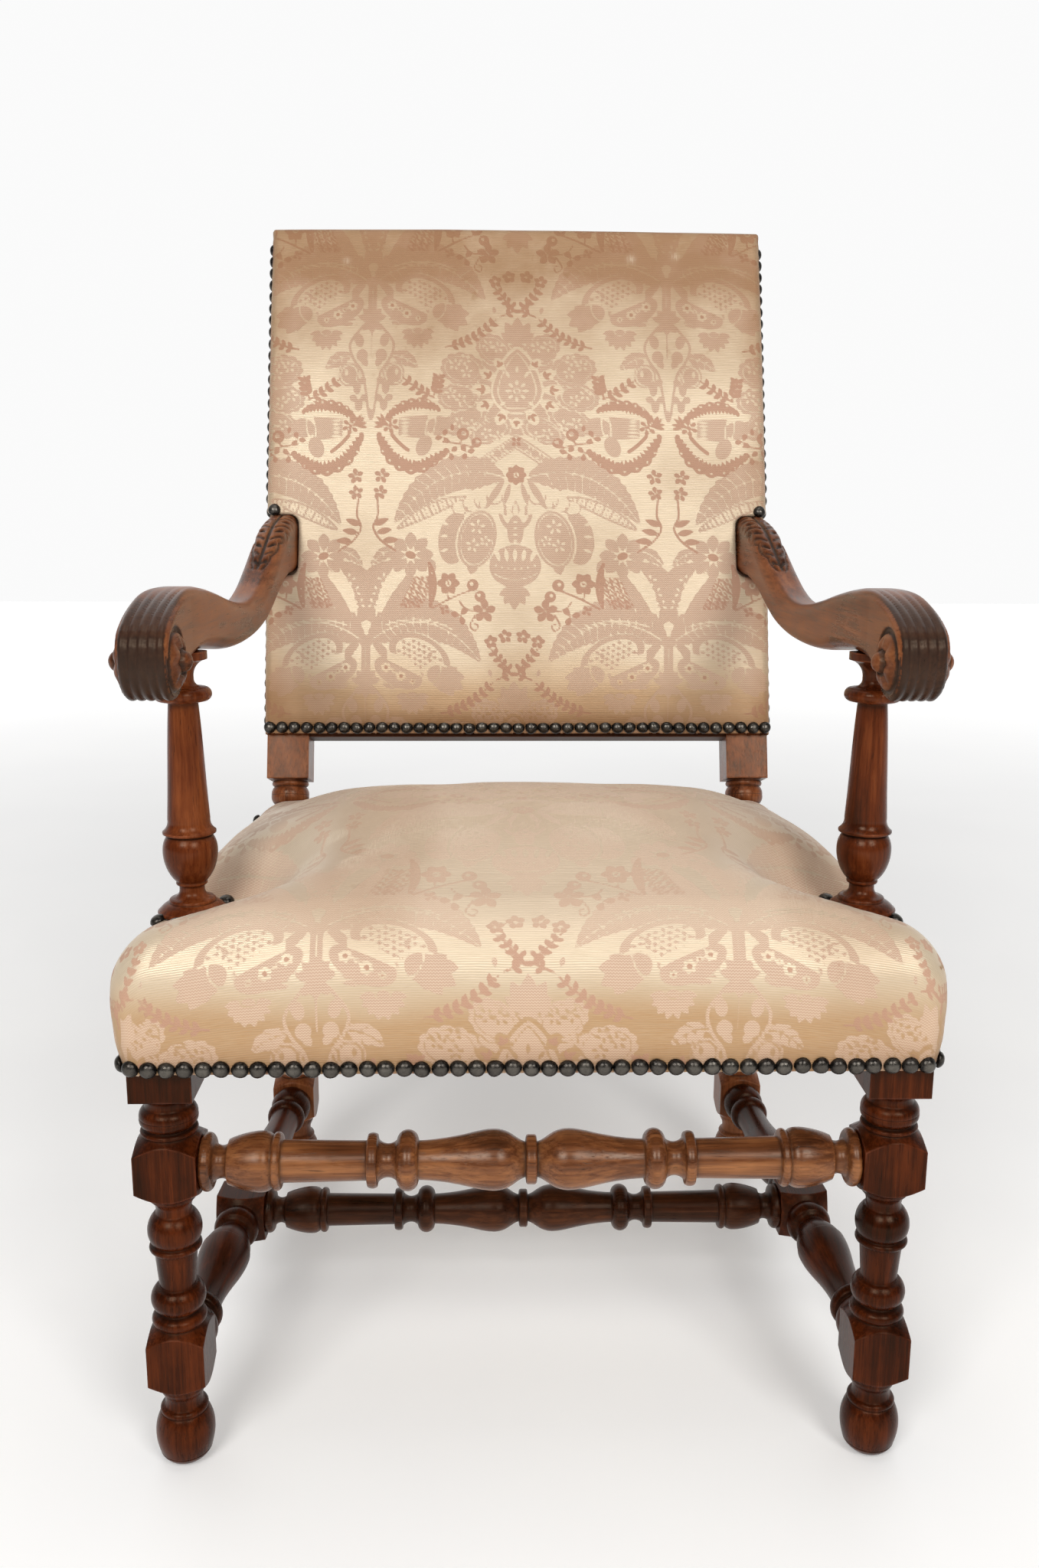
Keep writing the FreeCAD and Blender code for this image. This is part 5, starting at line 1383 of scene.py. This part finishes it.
# painted shade in the hollow where the cover is drawn down round each arm support
soil_and_shade = soil_and_shade + 0.5 * np.exp(-(np.maximum(np.hypot(np.abs(x) - SUP_X, y - SUP_Y) - 26, 0) / 16.0) ** 2)
wear = 0.85 * np.exp(-(((x + 165) / 45.0) ** 2 + ((y - 95) / 42.0) ** 2)) * sstep(-0.2, 0.5, vnoise(x / 16.0, y / 20.0, 1.0))
wear = wear + 0.30 * sstep(455, 480, z) * sstep(0.0, 0.7, vnoise(x / 60.0, y / 55.0, 9.0))


# the rims of the two holes lie level
rim_lp = [np.array(l) for l in loops_of(sq)]
for l in sorted(rim_lp, key=len)[:-1]:
    sv[l, 2] = 434.4


def seat_in(p):
    q = p.copy()
    hw = half_width(q[:, 1])
    t = (q[:, 1] - DEPTH) * CA - (q[:, 2] - Z_KINK) * SA
    by_post = (np.abs(q[:, 0]) > 226) & (t > -30)
    q[:, 0] = np.clip(q[:, 0], -hw + 0.5, hw - 0.5)
    q[:, 1] = np.maximum(q[:, 1], -30.1)
    q[:, 1] = q[:, 1] - np.maximum(t - 14.4, 0) / CA
    inner = by_post & (np.abs(q[:, 0]) < 240) & (t > -22)
    q[inner, 0] = np.sign(q[inner, 0]) * np.minimum(np.abs(q[inner, 0]), 230.6)
    front = by_post & (t > -26.8)
    front &= ~inner
    q[front, 1] -= (t[front] + 26.8) / CA
    return q


def seat_step(z_to, side, front):
    """Inner row of the turned-in edge: past the rail's outer face, then over its top."""
    def make(p):
        q = seat_in(p)
        lift = z_to - q[:, 2]
        q[:, 2] = z_to
        rear = p[:, 1] > 430
        q[rear, 1] += lift[rear] * SA / CA
        rx = 307.25 - 27.25 * q[:, 1] / DEPTH + side
        q[:, 0] = np.clip(q[:, 0], -rx, rx)
        q[:, 1] = np.maximum(q[:, 1], front)
        return q
    return make


seat = soft_piece("seat_upholstery", sv, sq, (sU, sV), np.clip(soil_and_shade, 0, 1), np.clip(satin_shade, 0, 1), fade, np.clip(wear, 0, 1),
                  [seat_in, seat_step(430.5, 1.2, -25.2), seat_step(434.4, -5.0, -21.0)])
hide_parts("seat_cover", "seat_stuffing")
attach(seat, "root")


# ---------------------------------------------------------------------------
# stuffed back, in its own leaning frame: across, up, towards the rear
# ---------------------------------------------------------------------------
XB, S_LOW, S_HIGH = 282.3, 161.2, 746.0


def back_front(x, s):
    """How far the front stands out, before the edges are rounded."""
    f = 52.5 - x * x / 8600.0 - (s - 450) ** 2 / 11500.0
    f = f + 1.1 * vnoise(x / 110.0 + 4.0, s / 100.0, 2.2) + 0.5 * vnoise(x / 42.0, s / 40.0, 7.7)
    low = np.clip((s - 169.5) / 50.0, 0, 1)
    roll_ = 33.6 + (f - 33.6) * np.sqrt(np.clip(1 - (1 - low) ** 2, 0, 1))
    puck = 0.8 * np.exp(-np.clip(s - 167.5, 0, 300) / 12.0)
    return np.where(s < 169.5, 33.6, roll_) - puck * (0.5 + 0.5 * np.cos(2 * np.pi * (x / 13.8 + 0.5)))


def back_field(x, s, t):
    ax = np.abs(x)
    puck = 0.6 * np.exp(-np.abs(t + 27) / 7.0) * (0.5 + 0.5 * np.cos(2 * np.pi * (s - 178) / 13.85 + np.pi))
    dx = ax - XB + puck
    ds = s - (746.6 + 3.2 * (x / 280.0) ** 2)
    plan = rmax(dx, ds, 4.0)
    f = back_front(x, s)
    d = rmax(plan, (-f - t) * 0.98, 10.0)
    d = np.maximum(d, S_LOW - s)
    d = np.maximum(d, t - 25.0)
    # room for the arms
    z = Z_KINK + s * CA - t * SA
    y = DEPTH + s * SA + t * CA
    zt = np.interp(y, [p[0] for p in TOP_LINE], [p[1] for p in TOP_LINE]) + 1.5
    zb = np.interp(y, [500, 540, 600], [688, 691, 689]) - 1.5
    xi = 260.0 - 14.0 * np.clip((y - 60) / 540.0, 0, 1) - 1.3
    arm = rmax(rmax(xi - ax, ax - 284.0 - 30, 4.0), np.maximum(z - zt, zb - z), 10.0)
    arm = np.maximum(arm, t + HP + 0.5)
    d = rmax(d, -arm, 4.0)
    return d


bh = 2.05
bx = np.arange(-290.0, 290.1, bh)
bs = np.arange(153.0, 756.0, bh)
bt = np.arange(-60.0, 30.0, bh)
bv, bq = surface(back_field(bx[:, None, None], bs[None, :, None], bt[None, None, :]), bx, bs, bt)
for _ in range(2):
    nb = field_normal(back_field, bv)
    bv = bv - nb * np.clip(back_field(*bv.T), -1.5, 1.5)[:, None] * 0.8
nb = field_normal(back_field, bv)


def back_held(p):
    x, s, t = p.T
    h = np.maximum(sstep(258, 276, np.abs(x)), sstep(200, 172, s))
    h = np.maximum(h, np.maximum(sstep(722, 740, s), sstep(-34, -20, t)))
    z = Z_KINK + s * CA - t * SA
    return np.maximum(h, sstep(214, 238, np.abs(x)) * sstep(666, 682, z) * sstep(782, 764, z))


def lean(n):
    return np.stack([n[:, 0], n[:, 1] * SA + n[:, 2] * CA, n[:, 1] * CA - n[:, 2] * SA], 1)


cp, co = billow("back_cloth_run", back_field, (np.arange(-297.0, 298.0, 9.5), np.arange(148.0, 764.0, 9.5), np.arange(-68.0, 36.0, 9.5)),
                back_held, 2.0, lambda p: row(rk(*p.T)), lean)
bv = bv + nb * (carried(cp, co, bv) * (1 - back_held(bv)))[:, None]
fc = bv[bq].mean(1)
fn_ = nb[bq].mean(1)
# the rear of the block and its lower edge are left open; so are the sides behind the nail rows
drop = (fc[:, 2] > 23.5) & (fn_[:, 2] > 0.5)
drop |= (fc[:, 1] < S_LOW + 1.2) & (fn_[:, 1] < -0.5)
drop |= (fc[:, 2] > -7.0) & (np.abs(fc[:, 0]) > 270) & (fc[:, 1] < 740.0)
bq = bq[~drop]
used = np.unique(bq)
remap = -np.ones(len(bv), int)
remap[used] = np.arange(len(used))
bv, nb, bq = bv[used], nb[used], remap[bq]

x, s, t = bv.T
side = (np.abs(nb[:, 0]) > 0.72) & (np.abs(x) > 262)
topf = (nb[:, 1] > 0.72) & (s > 715)
bU = np.where(side, np.sign(x) * (XB + (t + 46.0)), x)
bV = np.where(topf, S_HIGH + (t + 46.0), s)
bV = bV + 1.6 * vnoise(x / 130.0, s / 140.0, 4.4)
bU = bU + 1.6 * vnoise(x / 140.0 + 9.0, s / 130.0, 1.4)
bU = bU + 1.0 + 0.011 * (560.0 - s)
bU = np.where(bU < 0, bU * 1.02, bU * 0.98)
soil_and_shade = 0.37 * sstep(512, 646, s + 14 * vnoise(x / 60.0, s / 60.0, 0.0)) + 0.76 * sstep(642, 722, s + 10 * vnoise(x / 60.0, s / 60.0, 2.0)) + 0.38 * sstep(232, 176, s + 9 * vnoise(x / 70.0, s / 50.0, 3.0))
soil_and_shade = soil_and_shade + 0.30 * sstep(250, 280, np.abs(x)) + 0.11 + 0.35 * sstep(188, 168, s)
soil_and_shade = soil_and_shade + 0.12 * sstep(0.1, 0.6, vnoise(x / 90.0, s / 90.0, 6.0))
for sx_, ss_, r_, k_ in ((-214, 716, 7, 0.9), (-90, 728, 6, 0.8), (242, 718, 8, 0.7), (-150, 700, 12, 0.4), (120, 705, 14, 0.3)):
    soil_and_shade = soil_and_shade + k_ * np.exp(-(((x - sx_) / r_) ** 2 + ((s - ss_) / r_) ** 2))
# painted satin shade on the bottom roll of the back, with a small share everywhere
satin_shade = 0.75 * sstep(262, 186, s + 12 * vnoise(x / 70.0, s / 50.0, 8.0)) + 0.10
fade = np.zeros(len(x))
wear = np.zeros(len(x))
for sx_, ss_, r_, k_ in ((131, 710, 5, 0.45), (182, 714, 4.5, 0.4), (-195, 706, 4, 0.35)):
    wear = wear + k_ * np.exp(-(((x - sx_) / r_) ** 2 + ((s - ss_) / r_) ** 2))


def to_design(p):
    return rk(p[:, 0], p[:, 1], p[:, 2])


def back_in(p):
    q = p.copy()
    q[:, 0] = np.clip(q[:, 0], -XB + 1.8, XB - 1.8)
    q[:, 1] = np.clip(q[:, 1], S_LOW, 743.6)
    low = q[:, 1] < S_LOW + 3.0
    q[low, 2] = np.maximum(q[low, 2], -32.0)
    return q


def back_fwd(p):
    q = back_in(p)
    q[:, 2] = -25.0
    q[:, 1] = np.clip(q[:, 1], 164.0, 743.6)
    return q


def soft_back():
    lp = max(loops_of(bq), key=len)
    rim = bv[lp]

    def r1(_):
        return to_design(back_in(rim))

    def r2(_):
        return to_design(back_fwd(rim))

    return soft_piece("back_upholstery", to_design(bv), bq, (bU, bV), np.clip(soil_and_shade, 0, 1), np.clip(satin_shade, 0, 1), fade, np.clip(wear, 0, 1),
                      [r1, r2])


back = soft_back()
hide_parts("back_cover", "back_stuffing")
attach(back, "root")


# ---------------------------------------------------------------------------
# cloths and webbing underneath and behind
# ---------------------------------------------------------------------------
def strip_mesh(name, strips, mat, slot_name, *repl):
    """strips: list of (rows of points (n, m, 3) in design millimetres, flat coordinates)."""
    vs, fs, fab = [], [], []
    base = 0
    for pts, uv in strips:
        n, m = pts.shape[:2]
        vs.append(pts.reshape(-1, 3))
        fab.append(uv.reshape(-1, 2))
        idx = np.arange(n * m).reshape(n, m) + base
        fs.append(np.stack([idx[:-1, :-1], idx[1:, :-1], idx[1:, 1:], idx[:-1, 1:]], -1).reshape(-1, 4))
        base += n * m
    ob = new_mesh(name, row(np.concatenate(vs)), np.concatenate(fs))
    f = np.concatenate(fab) / 1000.0
    set_attr(ob, "fab", np.concatenate([f, np.zeros((len(f), 1))], 1), "FLOAT_VECTOR")
    ob.data.materials.append(mat)
    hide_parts(*repl)
    return ob


def thick(ob, mm):
    m = ob.modifiers.new("thickness", "SOLIDIFY")
    m.thickness = mm / 1000.0
    m.offset = 0.0


# seat webbing: five bands each way, over and under in turn
strips = []
LENGTH_X = (-180.0, -90.0, 0.0, 90.0, 180.0)
CROSS_Y = (42.0, 160.0, 245.0, 330.0, 412.0)
for i, cx in enumerate(LENGTH_X):
    yv = np.linspace(-20, 472, 124)
    xv = np.linspace(-27, 27, 10)
    yy_, xx_ = np.meshgrid(yv, xv, indexing="ij")
    z = np.zeros_like(yv)
    for j, cy in enumerate(CROSS_Y):
        z = z + (1 if (i + j) % 2 else -1) * np.exp(-((yv - cy) / 30.0) ** 4)
    z = 431.6 + 0.85 * z[:, None] + 0.15 * np.sin(xx_ / 27 * 9)
    strips.append((np.stack([xx_ + cx + 0.8 * np.sin(yy_ / 60.0 + i), yy_, z], -1), np.stack([xx_ + 70 * i, yy_], -1)))
for j, cy in enumerate(CROSS_Y):
    hw = float(half_width(cy)) - 14
    xv = np.linspace(-hw, hw, 144)
    yv = np.linspace(-25, 25, 10)
    xx_, yy_ = np.meshgrid(xv, yv, indexing="ij")
    z = np.zeros_like(xv)
    for i, cx in enumerate(LENGTH_X):
        z = z + (-1 if (i + j) % 2 else 1) * np.exp(-((xv - cx) / 32.0) ** 4)
    z = 431.6 + 0.85 * z[:, None] + 0.15 * np.sin(yy_ / 25 * 9)
    strips.append((np.stack([xx_, yy_ + cy, z], -1)[:, ::-1], np.stack([yy_ + 70 * j, xx_], -1)[:, ::-1]))
web = strip_mesh("seat_webbing_bands", strips, mat_web, "webbing", "seat_webbing")
thick(web, 1.2)
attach(web, "root")

# hessian over the seat webbing
yv = np.linspace(-18, 486, 90)
rows_ = []
uvs = []
for yq in yv:
    hw = float(half_width(yq)) - 12.0
    if yq > 446:
        hw = 231.0
    xv = np.linspace(-hw, hw, 100)
    zz = 433.75 + 0.18 * np.sin(xv / 45.0 + yq / 40.0)
    rows_.append(np.stack([xv, np.full_like(xv, yq), zz], 1))
    uvs.append(np.stack([xv, np.full_like(xv, yq)], 1))
hes = strip_mesh("seat_base_hessian", [(np.array(rows_)[:, ::-1], np.array(uvs)[:, ::-1])], mat_hessian, "hessian", "seat_base_cloth")
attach(hes, "root")

# back webbing and base cloth, hidden between the covers
strips = []
BX, BS = (-150.0, -50.0, 50.0, 150.0), (255.0, 318.0, 458.0, 540.0, 622.0)
for i, cx in enumerate(BX):
    sv_ = np.linspace(167, 735, 142)
    xv = np.linspace(-26, 26, 8)
    ss_, xx_ = np.meshgrid(sv_, xv, indexing="ij")
    t_ = np.zeros_like(sv_)
    for j, cs in enumerate(BS):
        t_ = t_ + (1 if (i + j) % 2 else -1) * np.exp(-((sv_ - cs) / 30.0) ** 4)
    strips.append((rk(xx_ + cx, ss_, -22.9 + 0.75 * t_[:, None] + 0 * xx_), np.stack([xx_ + 70 * i, ss_], -1)))
for j, cs in enumerate(BS):
    xv = np.linspace(-268, 268, 136)
    sv_ = np.linspace(-25, 25, 8)
    xx_, ss_ = np.meshgrid(xv, sv_, indexing="ij")
    t_ = np.zeros_like(xv)
    for i, cx in enumerate(BX):
        t_ = t_ + (-1 if (i + j) % 2 else 1) * np.exp(-((xv - cx) / 30.0) ** 4)
    t_ = t_ - 0.9 * sstep(215, 232, np.abs(xv))
    strips.append((rk(xx_, ss_ + cs, -22.9 + 0.75 * t_[:, None] + 0 * ss_), np.stack([ss_ + 70 * j, xx_], -1)))
bweb = strip_mesh("back_webbing_bands", strips, mat_web, "webbing", "back_webbing")
thick(bweb, 1.0)
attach(bweb, "root")
xx_, ss_ = np.meshgrid(np.linspace(-277, 277, 90), np.linspace(163, 740, 92), indexing="ij")
bhes = strip_mesh("back_base_hessian", [(rk(xx_, ss_, -24.7 + 0.08 * np.sin(xx_ / 40 + ss_ / 35)), np.stack([xx_, ss_], -1))], mat_hessian, "hessian",
                  "back_base_cloth")
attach(bhes, "root")

# outside back cloth: stretched, with a turned-in edge and faint pulls at the tacks
na, nb_ = 150, 156
xv, sv_ = np.linspace(-279, 279, na), np.linspace(161, 742, nb_)
xx_, ss_ = np.meshgrid(xv, sv_, indexing="ij")
edge = np.minimum(np.minimum(279 - np.abs(xx_), ss_ - 161), 742 - ss_)
tt = 25.3 + 0.6 * vnoise(xx_ / 120.0, ss_ / 120.0, 8.0) + 0.9 * sstep(0, 40, edge) * (-0.4)
tt = tt - 1.3 * (1 - sstep(0, 5, edge)) + 0.25 * np.cos(2 * np.pi * xx_ / 46.0) * np.exp(-edge / 22.0) + 0.25 * np.cos(2 * np.pi * ss_ / 46.0) * np.exp(-edge / 22.0)
outer_pts = rk(xx_, ss_, tt)
outc = strip_mesh("back_outer_cloth", [(outer_pts[::-1], np.stack([xx_, ss_], -1)[::-1])], mat_outer, "plain_cloth", "back_outer_cover")
thick(outc, 1.2)
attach(outc, "root")


# ---------------------------------------------------------------------------
# round-headed nails, set on the cloth
# ---------------------------------------------------------------------------
def tree_of(ob):
    dg = bpy.context.evaluated_depsgraph_get()
    return BVHTree.FromObject(ob, dg)


seat_tree, back_tree = tree_of(seat), tree_of(back)
rng = np.random.RandomState(21)
PROF = [(0.0, 4.9), (1.8, 4.8), (3.4, 4.35), (4.8, 3.5), (5.9, 2.35), (6.6, 1.1), (6.8, 0.2), (6.4, -0.7)]


def nails(name, spots, tree, repl, reach=0.02, follow=0.5, lift=0.6):
    vs, fs, dome, tone = [], [], [], []
    seg = 18
    base = 0
    for pos, axis, *own in spots:
        fol, up = own if own else (follow, lift)
        p = Vector(row([pos])[0])
        n = Vector(axis).normalized()
        hit, hn, _, dist = tree.find_nearest(p)
        if hit is not None and dist < reach:
            if hn.dot(n) > 0.2:
                n = (n * (1 - fol) + hn * fol).normalized()
            p = hit
        n = (n + Vector(rng.normal(0, 0.035, 3))).normalized()
        p = p + n * (up * 0.001)
        a = n.orthogonal().normalized()
        b = n.cross(a)
        k = 1.0 + rng.normal(0, 0.012)
        tn = rng.rand()
        lump = rng.normal(0, 0.02, (3,))
        first = len(vs)
        vs.append(p + n * (PROF[0][1] * 0.001 * k))
        dome.append(1.0)
        for r, hgt in PROF[1:]:
            for q in range(seg):
                th = 2 * math.pi * q / seg
                w = 1 + lump[0] * math.cos(2 * th) + lump[1] * math.sin(3 * th)
                vs.append(p + (a * math.cos(th) + b * math.sin(th)) * (r * 0.001 * k * w) + n * (hgt * 0.001 * k))
                dome.append(max(0.0, hgt / 4.9))
        tone += [tn] * (len(vs) - first)
        for q in range(seg):
            fs.append((first, first + 1 + q, first + 1 + (q + 1) % seg))
        for ring_ in range(len(PROF) - 2):
            o0, o1 = first + 1 + ring_ * seg, first + 1 + (ring_ + 1) * seg
            for q in range(seg):
                fs.append((o0 + q, o1 + q, o1 + (q + 1) % seg, o0 + (q + 1) % seg))
        last = first + 1 + (len(PROF) - 2) * seg
        fs.append(tuple(last + q for q in reversed(range(seg))))
    ob = new_mesh(name, vs, fs)
    set_attr(ob, "dome", dome)
    set_attr(ob, "tone", tone)
    ob.data.materials.append(mat_nail)
    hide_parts(repl)
    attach(ob, "root")
    return ob


spots = []
for i in range(45):
    spots.append(((-302.0 + 601.0 * i / 44 + rng.normal(0, 0.25), -32.05, 355.4 + rng.normal(0, 0.25)), (0, -1, 0)))
for i in range(34):
    yq = -22.0 + 458.0 * i / 33
    for sg in (-1, 1):
        spots.append(((sg * (half_width(yq) + 1.05), yq, 355.4 + rng.normal(0, 0.25)), (sg, SLOPE, -0.13)))
for zq in (370.0, 384.2, 398.4, 412.6, 426.4):
    yq = DEPTH + (zq - Z_KINK) * SA / CA - HP / CA - 9.6
    for sg in (-1, 1):
        spots.append(((sg * (half_width(yq) + 5.0), yq, zq), (sg, SLOPE, 0.02)))
nails("seat_nail_heads", spots, seat_tree, "seat_nails")
spots = []
for sg in (-1, 1):
    for ang in (-142, -100, -62, -24, 14, 52, 90, 132):
        a_ = math.radians(ang)
        far_ = 35.3 - 4.5 * float(sstep(80, 140, abs(ang)))
        px, py = SUP_X - far_ * math.cos(a_), SUP_Y + far_ * math.sin(a_)
        hit, hn, _, _ = seat_tree.ray_cast(Vector(row([[sg * px, py, 600]])[0]), Vector((0, 0, -1)))
        spots.append(((sg * px, py, hit.z * 1000), tuple(hn)))
nails("arm_base_nail_heads", spots, seat_tree, "arm_base_nails")
spots = []
fa = (0.0, -CA, SA)
for i in range(41):
    xq = -276 + 552 * i / 40 + rng.normal(0, 0.25)
    spots.append((tuple(rk(xq, 167.6 + rng.normal(0, 0.3), -34.05)), fa))
for i in range(40):
    sq_ = 178.0 + 548.0 * i / 39
    for sg in (-1, 1):
        low_ = float(sstep(440, 395, sq_))
        spots.append((tuple(rk(sg * 282.45, sq_, -24.0 + 6.0 * low_)), (sg, 0, 0), 0.1, -1.1 - 1.2 * low_))
for sg in (-1, 1):
    spots.append((tuple(rk(sg * 273.0, 412.0, -46.0)), fa))
nails("back_nail_heads", spots, back_tree, "back_nails")

# ---------------------------------------------------------------------------
# turned and sawn wood keeps its CAD shape
# ---------------------------------------------------------------------------
WOOD_OF = {
    "front_leg_left": "leg", "front_leg_right": "leg", "rear_post_left": "post", "rear_post_right": "post",
    "arm_support_left": "sup", "arm_support_right": "sup", "front_stretcher": "strx", "cross_stretcher": "strc",
    "side_stretcher_left": "stry", "side_stretcher_right": "stry", "seat_rail_front": "railx", "seat_rail_back": "railx",
    "back_rail_top": "railx", "back_rail_bottom": "raild", "seat_rail_left": "raily", "seat_rail_right": "raily",
}
for n, k in WOOD_OF.items():
    o = nodes[n]
    o.data.materials.clear()
    o.data.materials.append(mat_wood[k])
